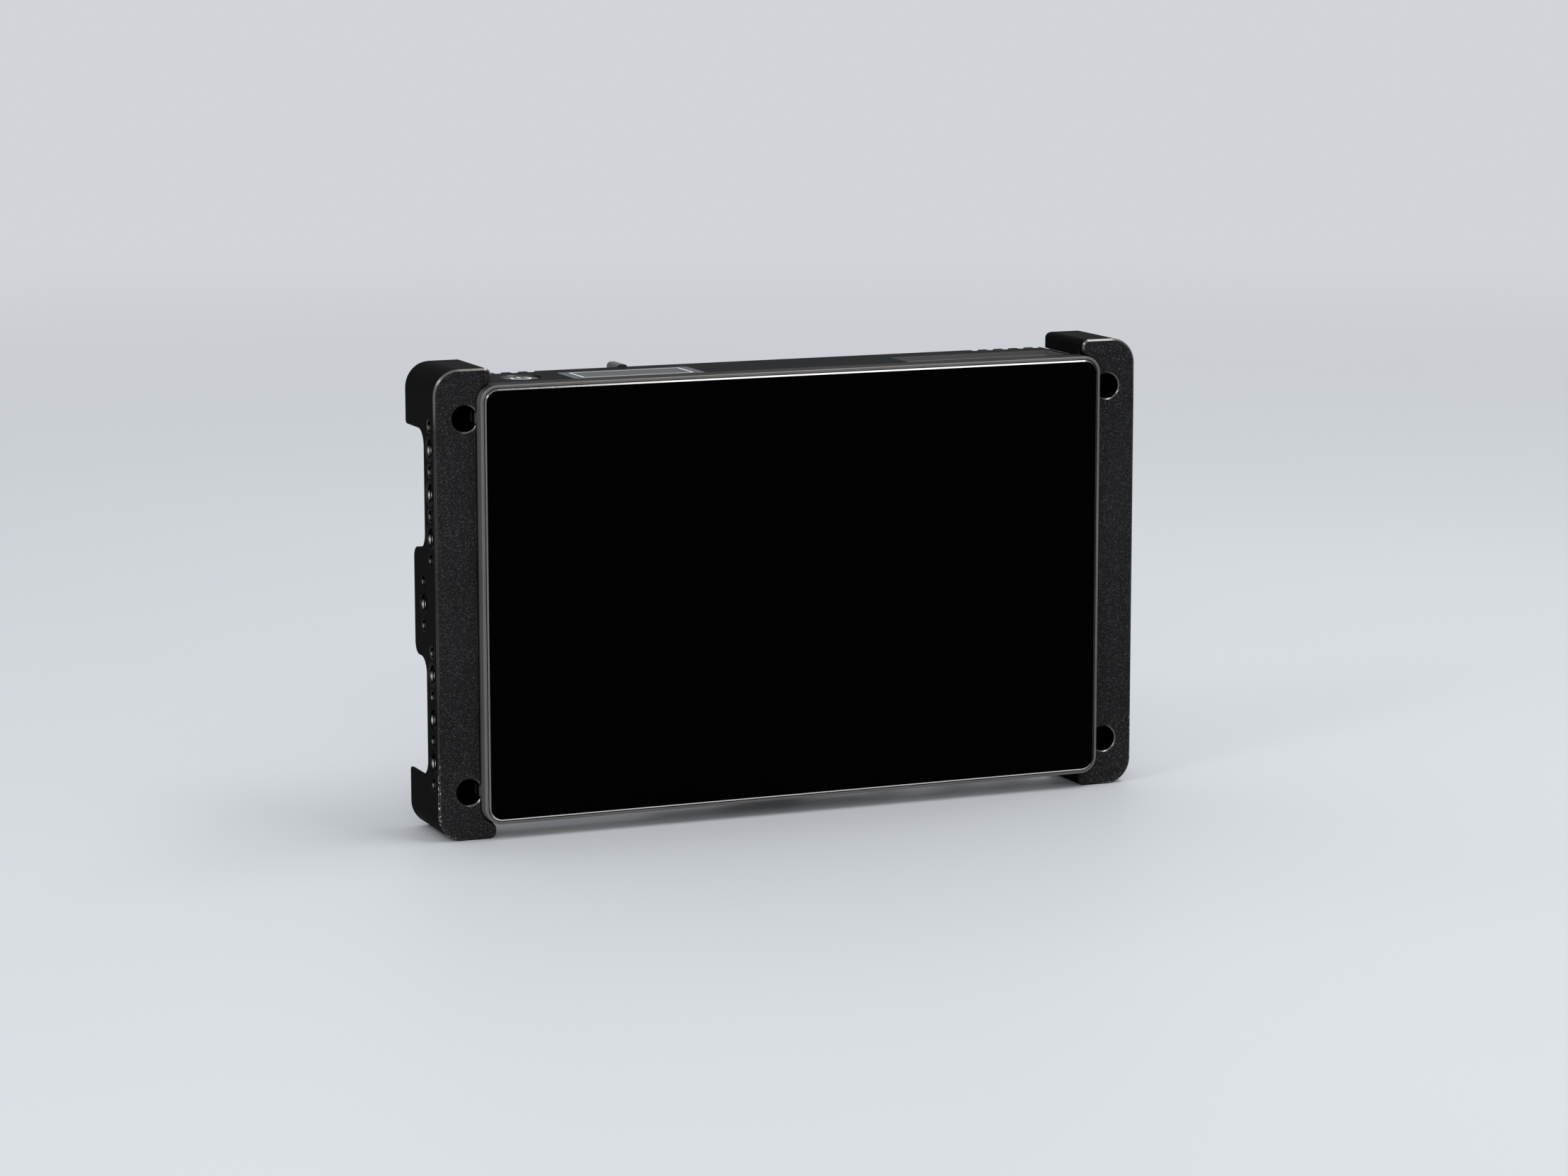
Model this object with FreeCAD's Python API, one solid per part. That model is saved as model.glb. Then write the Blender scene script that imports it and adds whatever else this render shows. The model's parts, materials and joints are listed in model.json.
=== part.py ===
import FreeCAD, Part
import math
import os

from FreeCAD import Vector

# A seven-inch camera field monitor held between two machined side brackets, in millimetres.
# +X is the viewer's right, +Y runs from the screen to the back and +Z is up.
# A depth is measured back from the front face of the glass.
# The origin is on the table, under the middle of the whole box.

# Allowances shared by all pieces
overrun = 2.0            # how far a cutting solid runs past the face that it opens
easy_gap = 0.3           # between pieces that only lie near each other
screw_gap = 0.2          # round a screw in a plain hole
thread_gap = 0.02        # round a screw in its tapped hole, or a pressed pin
running_gap = 0.05       # round a turning shaft
slide_gap = 0.25         # beside a sliding piece
screw_head_share = 1.8   # head radius over shank radius
screw_height_share = 1.3 # head height over shank radius
screw_socket_share = 0.9 # socket corner radius over shank radius
socket_depth_share = 0.55

# Display panel, whose size drives the whole front
panel_width = 156.0
panel_height = 99.0
panel_gap = 0.3
lcd_thickness = 1.5
backlight_thickness = 2.0

# Screen glass and its gasket
glass_side_margin = 5.0  # beside the panel
glass_end_margin = 4.15  # above and below the panel
glass_corner = 3.4
glass_thickness = 1.1
glass_bevel = 0.35
glass_gap = 0.25
gasket_thickness = 0.3
gasket_margin = 0.6

# Front frame round the glass
frame_rim = 0.75
frame_setback = 0.3
frame_depth = 5.1
frame_round = 0.45

# Main housing, a shell that is shallow at the bottom and deep above
housing_inset = 0.4
side_wall = 2.2
top_wall = 3.0
seat_thickness = 2.2
shallow_depth = 15.0
housing_depth = 29.0     # to the back of the rear cover
ceiling_rise = 14.7      # from the housing's bottom up to the underside of its deep part

# Middle step and tripod boss under the deep part
step_left_margin = 3.7   # beside the flat video socket
step_right_margin = 2.95 # beside the power inlet
step_depth = 20.2
boss_width = 22.0
boss_drop = 1.0
boss_foot_round = 3.0

# Rear cover with cooling fins at both ends
cover_thickness = 3.8
cover_edge = 0.5
fin_pitch = 4.4
groove_width = 2.2
groove_depth = 2.5
groove_count = 5
fin_margin = 4.7         # from the cover's side to the first groove's middle
groove_end_rise = 13.0
intake_width = 1.2
intake_height = 34.0
cover_screw_radius = 1.25
cover_screw_length = 9.0
cover_post = 6.2
cover_top_screw_inset = 33.6
cover_low_screw_gap = 1.0 # between a lower post and the power inlet's nut
cover_side_screw_rise = 6.5

# Vent pocket and power button in the top
pocket_side_margin = 4.6
pocket_length = 45.0
pocket_front = 9.5
pocket_back = 22.0
pocket_sink = 1.25
pocket_round = 0.8
vent_count = 9
vent_width = 2.0
vent_round = 0.65
vent_front_margin = 1.8
vent_back_margin = 5.9
button_side_margin = 15.9 # from the housing's left side to the button's middle
button_depth = 17.3
button_radius = 4.6
button_gap = 0.15
button_recess = 0.35
button_edge = 0.3
button_hole_edge = 0.45
button_flange_radius = 5.6
button_flange = 0.9
button_stem_radius = 1.6
button_stem = 1.0
button_travel = 0.6
switch_side = 6.0
switch_height = 3.4
switch_plunger = 0.6
button_board_width = 16.0
button_board_length = 11.0
button_board_thickness = 1.2
shelf_thickness = 2.0

# Panel carrier, main board and cooling
carrier_thickness = 1.2
carrier_corner = 2.0
carrier_screw_radius = 0.8
carrier_screw_grip = 2.6
carrier_screw_pitch = 18.0
carrier_screw_count = 4
standoff_radius = 2.3
standoff_height = 1.6
board_thickness = 1.6
board_side_margin = 11.6
board_fan_gap = 14.0
board_low_rise = 7.5     # from the deep part's inner floor up to the board's lower edge
board_top_drop = 14.0
board_corner = 1.5
board_screw_radius = 0.9
board_screw_inset = 5.0
tongue_width = 20.0
tongue_rise = 2.0
chip_side = 18.0
chip_height = 1.4
chip_x = -20.0
chip_rise = 8.0
memory_width = 9.0
memory_length = 11.0
memory_height = 1.1
memory_pitch = 13.0
memory_count = 3
pad_thickness = 0.6
sink_width = 40.0
sink_height = 36.0
sink_base = 2.0
sink_depth = 9.5
sink_fin = 1.0
sink_fin_count = 9
fan_side = 30.0
fan_depth = 8.0
fan_side_margin = 27.6   # from the housing's right side to the fan's middle
fan_top_drop = 28.25     # from the housing's inner top to the fan's middle
fan_bore = 13.6
fan_screw_pitch = 24.0
fan_post_radius = 2.5
fan_screw_radius = 1.0
fan_screw_length = 12.0
fan_lift = 5.2
fan_plate = 1.2
fan_spoke = 1.6
fan_hub_radius = 6.2
fan_hub_height = 6.0
fan_hub_clear = 0.4
fan_shaft_radius = 1.0
fan_bush_radius = 2.4
fan_bush_length = 3.5
blade_count = 7
blade_tip_gap = 0.6
blade_chord = 5.4
blade_thickness = 0.9
blade_tilt = 30.0        # degrees
ribbon_width = 12.0
ribbon_thickness = 0.15
ribbon_rise = 5.0
plug_height = 4.0

# Sockets under the deep part, pointing down
sdi_side_margin = 16.1   # from the housing's right side to the outer socket's middle
sdi_pitch = 16.5
sdi_radius = 4.85
sdi_length = 13.6
sdi_bore = 4.05
sdi_bore_length = 8.5
sdi_thread_radius = 4.3
sdi_lug_radius = 1.0
sdi_lug = 0.9
sdi_lug_rise = 3.2
sdi_core_radius = 2.5
sdi_core_length = 6.0
sdi_contact_radius = 0.7
sdi_contact_rise = 1.0
inlet_pitch = 20.0       # from the inner round socket
inlet_radius = 4.05
inlet_length = 14.0
inlet_bore = 3.1
inlet_bore_length = 7.0
inlet_thread_radius = 3.5
inlet_pin_radius = 0.6
inlet_pin_pitch = 2.6
inlet_pin_length = 5.0
nut_height = 2.4
nut_flat = 1.4           # how far the nut reaches past its thread
socket_tail = 6.0        # from the ceiling's inside up to the socket's upper end
hdmi_x = -25.0
hdmi_width = 14.6
hdmi_thickness = 5.4
hdmi_length = 11.5
hdmi_wall = 0.4
hdmi_bevel = 1.4
hdmi_tongue_width = 11.0
hdmi_tongue_thickness = 1.5
hdmi_tongue_recess = 1.2

# Tripod thread insert, quarter inch by 20 to the inch
tripod_bore = 2.6
tripod_insert_radius = 4.6
tripod_insert_length = 10.0
tripod_depth = 21.5
tripod_mouth = 0.6

# Battery plate on the back
pack_length = 70.8
pack_width = 38.4
plate_thickness = 3.5
plate_top_drop = 3.3
plate_right_margin = 2.6
plate_corner = 2.0
rail_wall = 2.0
rail_height = 4.0
rail_lip = 1.6
rail_lip_thickness = 1.4
plate_screw_radius = 1.5
plate_screw_length = 5.0
plate_screw_x = 22.0
plate_screw_z = 10.0
plate_head_sink = 2.0
contact_block_length = 9.0
contact_block_width = 16.0
contact_block_height = 3.6
contact_pitch = 4.6
contact_count = 3
contact_thickness = 0.8
contact_length = 6.0
contact_height = 2.4

# Battery release, a sprung bar with a thumb tab above the top edge
release_offset = 1.0     # from the battery's end to the bar's middle
release_width = 3.0
release_top_rise = 0.5   # above the housing's top
release_tab_height = 3.3
release_tab_depth = 7.3
release_tab_round = 1.1
release_length = 25.0
release_travel = 3.0
release_rib = 3.2
release_inner_rib = 1.5
release_guide_rise = 6.0 # from the plate's lower edge to the guide's floor
release_floor = 2.0
release_guide_length = 27.0
nose_width = 2.2
nose_height = 5.0
nose_rise = 5.0
spring_radius = 1.1
spring_wire = 0.25
spring_turns = 6
keeper_thickness = 0.8
keeper_screw_radius = 0.7
keeper_screw_length = 3.4

# Side brackets
bracket_reach = 14.9     # from a bracket's outer face to the tip of its walls
bracket_bar = 10.95      # thickness of the upright bar
bracket_wall = 3.65
bracket_gap = 0.25       # beside the front frame
bracket_grip_gap = 0.15  # round the housing
bracket_front = 3.0
bracket_corner = 6.5
bracket_tip_round = 1.7
bracket_edge = 0.45
bracket_end_depth = 22.3
bracket_bar_depth = 8.2
bracket_tab_depth = 17.0
bracket_end_height = 15.3
bracket_tab_height = 27.0
bracket_fillet = 4.0
bracket_end_round = 1.0
bracket_tab_round = 3.0
ear_wall = 2.2           # side wall of a bracket's deep ends, which are hollow behind the bar
ear_rim_edge = 1.7
ear_lead = 2.5           # solid behind the bar before the hollow starts
hole_pitch = 5.5
rail_hole_first = 11.5   # from the middle to the first small hole of a row
rail_hole_end = 13.5     # kept clear at the end of a row
rail_hole_depth = 4.0
tab_hole_depth = 10.1
thread_radius = 2.6      # quarter inch by 20 to the inch
thread_length = 8.0
thread_mouth = 0.35
pin_hole_radius = 1.5
pin_hole_length = 4.0
pin_hole_mouth = 0.15
corner_hole_radius = 3.3
corner_hole_length = 5.0
corner_hole_side = 3.0   # from the bar's inner face
corner_hole_inset = 12.15 # from the bracket's end
corner_hole_mouth = 0.3
bracket_screw_radius = 1.0
bracket_screw_grip = 5.0
bracket_tab_screw_rise = 9.5
bracket_tab_screw_depth = 13.0
bracket_end_screw_inset = 11.55
bracket_end_screw_depth = 7.8
liner_margin = 0.8
liner_end_margin = 9.05

# Widths, heights, places and depths that follow from the sizes above
glass_width = panel_width + 2 * glass_side_margin
glass_height = panel_height + 2 * glass_end_margin
frame_width = glass_width + 2 * (glass_gap + frame_rim)
frame_height = glass_height + 2 * (glass_gap + frame_rim)
frame_corner = glass_corner + glass_gap + frame_rim
frame_back = frame_setback + frame_depth
window_width = panel_width + 2 * panel_gap
window_height = panel_height + 2 * panel_gap

bracket_height = frame_height + 2 * (bracket_gap + bracket_wall)
middle = bracket_height / 2
bracket_inner = frame_width / 2 + bracket_gap
bracket_outer = bracket_inner + bracket_bar
bracket_tip = bracket_outer - bracket_reach
bracket_bar_back = bracket_front + bracket_bar_depth

housing_width = frame_width - 2 * housing_inset
housing_height = frame_height - 2 * housing_inset
housing_corner = frame_corner - housing_inset
housing_side = housing_width / 2
housing_bottom = middle - housing_height / 2
housing_top = middle + housing_height / 2
inner_side = housing_side - side_wall
inner_bottom = housing_bottom + side_wall
inner_top = housing_top - top_wall
ceiling = housing_bottom + ceiling_rise
inner_floor = ceiling + side_wall

button_x = -housing_side + button_side_margin
pocket_right = housing_side - pocket_side_margin
pocket_left = pocket_right - pocket_length
fan_x = housing_side - fan_side_margin
board_left = -housing_side + board_side_margin
board_right = fan_x - fan_side / 2 - board_fan_gap
sdi_out_x = housing_side - sdi_side_margin
sdi_in_x = sdi_out_x - sdi_pitch
inlet_x = sdi_in_x - inlet_pitch
cover_top_screw_x = housing_side - cover_top_screw_inset
cover_low_screw_x = inlet_x - inlet_thread_radius - nut_flat - cover_low_screw_gap - cover_post / 2
step_left = hdmi_x - hdmi_width / 2 - step_left_margin
step_right = inlet_x - inlet_radius - step_right_margin
release_x = -pack_length / 2 - release_offset

lcd_front = glass_thickness + gasket_thickness
lcd_back = lcd_front + lcd_thickness
backlight_back = lcd_back + backlight_thickness
seat_back = frame_back + seat_thickness
carrier_back = seat_back + carrier_thickness
board_front = carrier_back + standoff_height
board_back = board_front + board_thickness
chip_back = board_back + chip_height
sink_front = chip_back + pad_thickness
shallow_inside = shallow_depth - side_wall
step_inside = step_depth - side_wall
cover_back = housing_depth
cover_front = cover_back - cover_thickness
socket_depth = cover_front - sdi_radius - easy_gap / 2

plate_back = cover_back + plate_thickness
rail_back = plate_back + rail_height
plate_left = -pack_length / 2 - release_width - release_rib + easy_gap
plate_right = pack_length / 2 + plate_right_margin
plate_top = housing_top - plate_top_drop
plate_bottom = plate_top - pack_width
release_top = housing_top + release_top_rise
keeper_back = rail_back + keeper_thickness
total_depth = keeper_back + keeper_screw_radius * screw_height_share
front_y = -total_depth / 2


# Placing and simple solids


def at(x, depth, z):
    return Vector(x, front_y + depth, z)


def block(x0, x1, d0, d1, z0, z1):
    return Part.makeBox(x1 - x0, d1 - d0, z1 - z0, at(x0, d0, z0))


def rod_x(radius, x0, x1, depth, z):
    return Part.makeCylinder(radius, x1 - x0, at(x0, depth, z), Vector(1, 0, 0))


def rod_y(radius, d0, d1, x, z):
    return Part.makeCylinder(radius, d1 - d0, at(x, d0, z), Vector(0, 1, 0))


def rod_z(radius, z0, z1, x, depth):
    return Part.makeCylinder(radius, z1 - z0, at(x, depth, z0), Vector(0, 0, 1))


def join(solids):
    whole = solids[0]
    for solid in solids[1:]:
        whole = whole.fuse(solid)
    return whole.removeSplitter()


def cut_all(solid, cutters):
    for cutter in cutters:
        solid = solid.cut(cutter)
    return solid


def group(solids):
    return Part.makeCompound(solids)


def mirrored(shape):
    return shape.mirror(Vector(0, 0, 0), Vector(1, 0, 0))


def rounded_face(corners, place):
    """A flat face from (u, v, radius) corners, each rounded by a tangent arc."""
    turns = []
    for index, (u, v, radius) in enumerate(corners):
        here = Vector(u, v, 0)
        before = Vector(corners[index - 1][0], corners[index - 1][1], 0)
        after = Vector(corners[(index + 1) % len(corners)][0], corners[(index + 1) % len(corners)][1], 0)
        back = (before - here).normalize()
        ahead = (after - here).normalize()
        half = back.getAngle(ahead) / 2
        reach = radius / math.tan(half)
        crown = here + (back + ahead).normalize() * (radius / math.sin(half) - radius)
        turns.append((here + back * reach, crown, here + ahead * reach, radius))
    edges = []
    for index, (start, crown, end, radius) in enumerate(turns):
        if radius > 0:
            edges.append(Part.Arc(place(start), place(crown), place(end)).toShape())
        onward = turns[(index + 1) % len(turns)][0]
        if (onward - end).Length > thread_gap:
            edges.append(Part.LineSegment(place(end), place(onward)).toShape())
    return Part.Face(Part.Wire(Part.__sortEdges__(edges)))


def front_plate(corners, d0, d1):
    """A plate seen from the front: corners in x and z, thick from depth d0 to d1."""
    face = rounded_face(corners, lambda p: at(p.x, d0, p.y))
    return face.extrude(Vector(0, d1 - d0, 0))


def side_plate(corners, x0, x1):
    """A plate seen from the side: corners in depth and z, thick from x0 to x1."""
    face = rounded_face(corners, lambda p: at(x0, p.x, p.y))
    return face.extrude(Vector(x1 - x0, 0, 0))


def top_plate(corners, z0, z1):
    """A plate seen from above: corners in x and depth, thick from z0 to z1."""
    face = rounded_face(corners, lambda p: at(p.x, p.y, z0))
    return face.extrude(Vector(0, 0, z1 - z0))


def box_corners(u0, u1, v0, v1, radius):
    return [(u0, v0, radius), (u1, v0, radius), (u1, v1, radius), (u0, v1, radius)]


def slab(width, height, corner, d0, d1):
    """A rounded plate centred on the screen."""
    corners = box_corners(-width / 2, width / 2, middle - height / 2, middle + height / 2, corner)
    return front_plate(corners, d0, d1)


def edges_at_depth(shape, depth):
    """The edges that lie flat at one depth."""
    level = front_y + depth
    boxes = [(edge, edge.BoundBox) for edge in shape.Edges]
    return [edge for edge, box in boxes if max(level - box.YMin, box.YMax - level) < thread_gap]


def edges_at_height(shape, z):
    """The edges that lie flat at one height."""
    boxes = [(edge, edge.BoundBox) for edge in shape.Edges]
    return [edge for edge, box in boxes if max(z - box.ZMin, box.ZMax - z) < thread_gap]


def head_height(radius):
    return radius * screw_height_share


def head_radius(radius):
    return radius * screw_head_share


def hexagon(centre, across, along, rim):
    """A six-sided face whose corners lie on a circle of radius rim."""
    turns = [math.pi * step / 3 for step in range(6)]
    ring = [centre + (across * math.cos(turn) + along * math.sin(turn)) * rim for turn in turns]
    return Part.Face(Part.makePolygon(ring + ring[:1]))


def screw(radius, length, seat, way):
    """A socket screw whose head rests on seat and whose level shank points along way."""
    tall = head_height(radius)
    head = Part.makeCylinder(head_radius(radius), tall, seat - way * tall, way)
    shank = Part.makeCylinder(radius, length, seat, way)
    deep = tall * socket_depth_share
    across = way.cross(Vector(0, 0, 1))
    socket = hexagon(seat - way * (tall + deep), across, Vector(0, 0, 1), radius * screw_socket_share)
    return head.fuse(shank).removeSplitter().cut(socket.extrude(way * (2 * deep)))


def mouth(radius, edge, base, way):
    """A cone that breaks a hole's mouth: wide at base, narrowing along way."""
    return Part.makeCone(radius + edge, radius, edge, base, way)


# Screen and front frame


def cover_glass():
    glass = slab(glass_width, glass_height, glass_corner, 0, glass_thickness)
    return glass.makeChamfer(glass_bevel, edges_at_depth(glass, 0))


def glass_gasket():
    outer = slab(glass_width - 2 * gasket_margin, glass_height - 2 * gasket_margin,
                 glass_corner - gasket_margin, glass_thickness, lcd_front)
    inner = slab(window_width + 2 * gasket_margin, window_height + 2 * gasket_margin,
                 gasket_margin, glass_thickness - overrun, lcd_front + overrun)
    return outer.cut(inner)


def bonding_sheet():
    return slab(panel_width, panel_height, 0, glass_thickness, lcd_front)


def lcd_panel():
    return slab(panel_width, panel_height, 0, lcd_front, lcd_back)


def backlight_unit():
    return slab(panel_width, panel_height, 0, lcd_back, backlight_back)


def panel_cushion():
    return slab(panel_width, panel_height, 0, backlight_back, seat_back)


def carrier_screw_places():
    first = middle - carrier_screw_pitch * (carrier_screw_count - 1) / 2
    x = inner_side - head_radius(carrier_screw_radius) - screw_gap
    heights = [first + carrier_screw_pitch * index for index in range(carrier_screw_count)]
    return [(side * x, z) for side in (-1, 1) for z in heights]


def carrier_screw_tip():
    return frame_back - carrier_screw_grip


def front_frame():
    body = slab(frame_width, frame_height, frame_corner, frame_setback, frame_back)
    body = body.makeFillet(frame_round, edges_at_depth(body, frame_setback))
    rebate = slab(glass_width + 2 * glass_gap, glass_height + 2 * glass_gap, glass_corner + glass_gap,
                  frame_setback - overrun, lcd_front)
    window = slab(window_width, window_height, 0, 0, frame_back + overrun)
    hole_front = carrier_screw_tip() - easy_gap
    holes = [rod_y(carrier_screw_radius + thread_gap, hole_front, frame_back + overrun, x, z)
             for x, z in carrier_screw_places()]
    return cut_all(body, [rebate, window] + holes)


# Main housing


def deep_outline():
    """The outline that the deep part shares with the rear cover."""
    return box_corners(-housing_side, housing_side, ceiling, housing_top, housing_corner)


def room_outline(low):
    return box_corners(-inner_side, inner_side, low, inner_top, side_wall)


def cover_screw_places():
    top = inner_top - cover_post / 2
    low = inner_floor + cover_post / 2
    side = inner_side - cover_post / 2
    places = []
    for sign in (-1, 1):
        places.append((sign * cover_top_screw_x, top))
        places.append((sign * cover_low_screw_x, low))
        places.append((sign * side, low + cover_side_screw_rise))
    return places


def cover_posts():
    """Square posts along the inner walls that take the rear cover's screws."""
    half = cover_post / 2
    front = board_back + easy_gap
    posts = []
    for x, z in cover_screw_places():
        posts.append(block(x - half, x + half, front, cover_front, z - half, z + half))
    return posts


def shelf_top():
    stem_end = inner_top - button_gap - button_flange - button_stem
    plunger_top = stem_end - button_travel - running_gap
    return plunger_top - switch_plunger - switch_height - button_board_thickness


def button_shelf():
    half = button_board_length / 2
    right = button_x + button_board_width / 2
    z1 = shelf_top()
    return block(-inner_side - side_wall / 2, right, button_depth - half, button_depth + half,
                 z1 - shelf_thickness, z1)


def tripod_boss():
    corners = [(-boss_width / 2, housing_bottom - boss_drop, boss_foot_round),
               (boss_width / 2, housing_bottom - boss_drop, boss_foot_round),
               (boss_width / 2, ceiling, 0), (-boss_width / 2, ceiling, 0)]
    return front_plate(corners, shallow_depth, cover_back)


def vent_slots():
    slots = []
    pitch = (pocket_right - pocket_left) / vent_count
    for index in range(vent_count):
        x = pocket_left + pitch * index + pitch / 2
        corners = box_corners(x - vent_width / 2, x + vent_width / 2, pocket_front + vent_front_margin,
                              pocket_back - vent_back_margin, vent_round)
        slots.append(top_plate(corners, inner_top - overrun, housing_top))
    return slots


def top_pocket():
    corners = box_corners(pocket_left, pocket_right, pocket_front, pocket_back, pocket_round)
    return top_plate(corners, housing_top - pocket_sink, housing_top + overrun)


def button_hole():
    radius = button_radius + button_gap
    hole = rod_z(radius, inner_top - overrun, housing_top + overrun, button_x, button_depth)
    edge = mouth(radius, button_hole_edge, at(button_x, button_depth, housing_top), Vector(0, 0, -1))
    return [hole, edge]


def socket_places():
    return [(sdi_in_x, sdi_thread_radius), (sdi_out_x, sdi_thread_radius), (inlet_x, inlet_thread_radius)]


def socket_holes():
    return [rod_z(radius + screw_gap, ceiling - overrun, inner_floor + overrun, x, socket_depth)
            for x, radius in socket_places()]


def hdmi_hole():
    half = hdmi_width / 2 + easy_gap
    front = board_back - easy_gap / 2
    back = board_back + hdmi_thickness + easy_gap
    return block(hdmi_x - half, hdmi_x + half, front, back, housing_bottom - overrun, inner_bottom + overrun)


def tripod_hole():
    foot = housing_bottom - boss_drop
    radius = tripod_insert_radius + thread_gap
    return rod_z(radius, foot - overrun, foot + tripod_insert_length, 0, tripod_depth)


def bracket_screw_places():
    """Depth and height of the screws that hold one bracket."""
    end_rise = middle - bracket_end_screw_inset
    places = []
    for sign in (-1, 1):
        places.append((bracket_front + bracket_tab_screw_depth, middle + sign * bracket_tab_screw_rise))
        places.append((bracket_front + bracket_end_screw_depth, middle + sign * end_rise))
    return places


def bracket_screw_holes(radius, x0, x1):
    return [rod_x(radius, x0, x1, depth, z) for depth, z in bracket_screw_places()]


def main_housing():
    shallow = slab(housing_width, housing_height, housing_corner, frame_back, shallow_depth)
    deep = front_plate(deep_outline(), frame_back, cover_front)
    step = block(step_left, step_right, frame_back, step_depth, housing_bottom, ceiling + side_wall / 2)
    body = join([shallow, deep, step, tripod_boss()])
    front_room = front_plate(room_outline(inner_bottom), seat_back, shallow_inside)
    deep_room = front_plate(room_outline(inner_floor), seat_back, cover_front + overrun)
    step_room = block(step_left + side_wall, -boss_width / 2 - side_wall, seat_back, step_inside,
                      inner_bottom, inner_floor + overrun)
    window = slab(window_width, window_height, 0, frame_back - overrun, seat_back + overrun)
    body = cut_all(body, [front_room, deep_room, step_room, window])
    body = join([body, button_shelf()] + cover_posts())
    cutters = [top_pocket(), hdmi_hole(), tripod_hole()] + vent_slots() + button_hole() + socket_holes()
    for x, z in cover_screw_places():
        cutters.append(rod_y(cover_screw_radius + thread_gap, cover_front - cover_screw_length,
                             cover_front + overrun, x, z))
    plain = carrier_screw_radius + screw_gap
    for x, z in carrier_screw_places():
        cutters.append(rod_y(plain, frame_back - overrun, seat_back + overrun, x, z))
    plain = bracket_screw_radius + screw_gap
    cutters += bracket_screw_holes(plain, inner_side - overrun, housing_side + overrun)
    cutters += bracket_screw_holes(plain, -housing_side - overrun, -inner_side + overrun)
    return cut_all(body, cutters)


# Rear cover


def groove_places():
    return [housing_side - fin_margin - fin_pitch * index for index in range(groove_count)]


def rear_cover():
    body = front_plate(deep_outline(), cover_front, cover_back)
    body = body.makeChamfer(cover_edge, edges_at_depth(body, cover_back))
    floor = cover_back - groove_depth
    low = ceiling + groove_end_rise
    front = cover_front - overrun
    back = cover_back + overrun
    intake_low = fan_z() - intake_height / 2
    cutters = []
    for x in groove_places():
        for side in (-1, 1):
            left = side * x - groove_width / 2
            cutters.append(block(left, left + groove_width, floor, back, low, housing_top + overrun))
        left = x - intake_width / 2
        cutters.append(block(left, left + intake_width, front, cover_back,
                             intake_low, intake_low + intake_height))
    head = head_radius(cover_screw_radius) + screw_gap
    for x, z in cover_screw_places():
        cutters.append(rod_y(cover_screw_radius + screw_gap, front, back, x, z))
        cutters.append(rod_y(head, cover_back - head_height(cover_screw_radius), back, x, z))
    for x, z in plate_screw_places():
        cutters.append(rod_y(plate_screw_radius + thread_gap, front, back, x, z))
    return cut_all(body, cutters)


def cover_screws():
    seat = cover_back - head_height(cover_screw_radius)
    return group([screw(cover_screw_radius, cover_screw_length, at(x, seat, z), Vector(0, -1, 0))
                  for x, z in cover_screw_places()])


# Panel carrier, main board and cooling


def ribbon_low():
    return middle - window_height / 2 + ribbon_thickness / 2


def panel_carrier():
    corners = box_corners(-inner_side + easy_gap, inner_side - easy_gap, inner_bottom + easy_gap,
                          inner_top - easy_gap, carrier_corner)
    plate = front_plate(corners, seat_back, carrier_back)
    holes = [rod_y(carrier_screw_radius + screw_gap, seat_back - overrun, carrier_back + overrun, x, z)
             for x, z in carrier_screw_places()]
    half = ribbon_width / 2 + easy_gap
    slot = block(hdmi_x - half, hdmi_x + half, seat_back - overrun, carrier_back + overrun,
                 ribbon_low() - easy_gap, ribbon_low() + ribbon_thickness + easy_gap)
    return cut_all(plate, holes + [slot])


def carrier_screws():
    length = carrier_back - carrier_screw_tip()
    return group([screw(carrier_screw_radius, length, at(x, carrier_back, z), Vector(0, -1, 0))
                  for x, z in carrier_screw_places()])


def board_low():
    return inner_floor + board_low_rise


def board_top():
    return inner_top - board_top_drop


def board_screw_places():
    low = board_low() + board_screw_inset
    high = board_top() - board_screw_inset
    left = board_left + board_screw_inset
    right = board_right - board_screw_inset
    return [(x, z) for x in (left, (left + right) / 2, right) for z in (low, high)]


def ring_post(radius, bore, d0, d1, x, z):
    return rod_y(radius, d0, d1, x, z).cut(rod_y(bore, d0 - overrun, d1 + overrun, x, z))


def board_standoffs():
    return group([ring_post(standoff_radius, board_screw_radius + thread_gap, carrier_back, board_front, x, z)
                  for x, z in board_screw_places()])


def main_board():
    plate = front_plate(box_corners(board_left, board_right, board_low(), board_top(), board_corner),
                        board_front, board_back)
    half = tongue_width / 2
    tongue = block(hdmi_x - half, hdmi_x + half, board_front, board_back, inner_bottom + tongue_rise,
                   board_low() + board_corner)
    holes = [rod_y(board_screw_radius + screw_gap, board_front - overrun, board_back + overrun, x, z)
             for x, z in board_screw_places()]
    return cut_all(join([plate, tongue]), holes)


def board_screws():
    length = board_thickness + standoff_height - thread_gap
    return group([screw(board_screw_radius, length, at(x, board_back, z), Vector(0, -1, 0))
                  for x, z in board_screw_places()])


def chip_middle():
    return middle + chip_rise


def ribbon_plug_front():
    return board_front - standoff_height / 2


def board_chips():
    half = chip_side / 2
    z = chip_middle()
    chips = [block(chip_x - half, chip_x + half, board_back, chip_back, z - half, z + half)]
    first = z - memory_pitch * (memory_count - 1) / 2
    left = chip_x + sink_width / 2 + easy_gap
    for index in range(memory_count):
        low = first + memory_pitch * index - memory_length / 2
        chips.append(block(left, left + memory_width, board_back, board_back + memory_height,
                           low, low + memory_length))
    left = hdmi_x - ribbon_width / 2
    low = inner_bottom + tongue_rise + easy_gap
    chips.append(block(left, left + ribbon_width, ribbon_plug_front(), board_front, low, low + plug_height))
    return group(chips)


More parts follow.
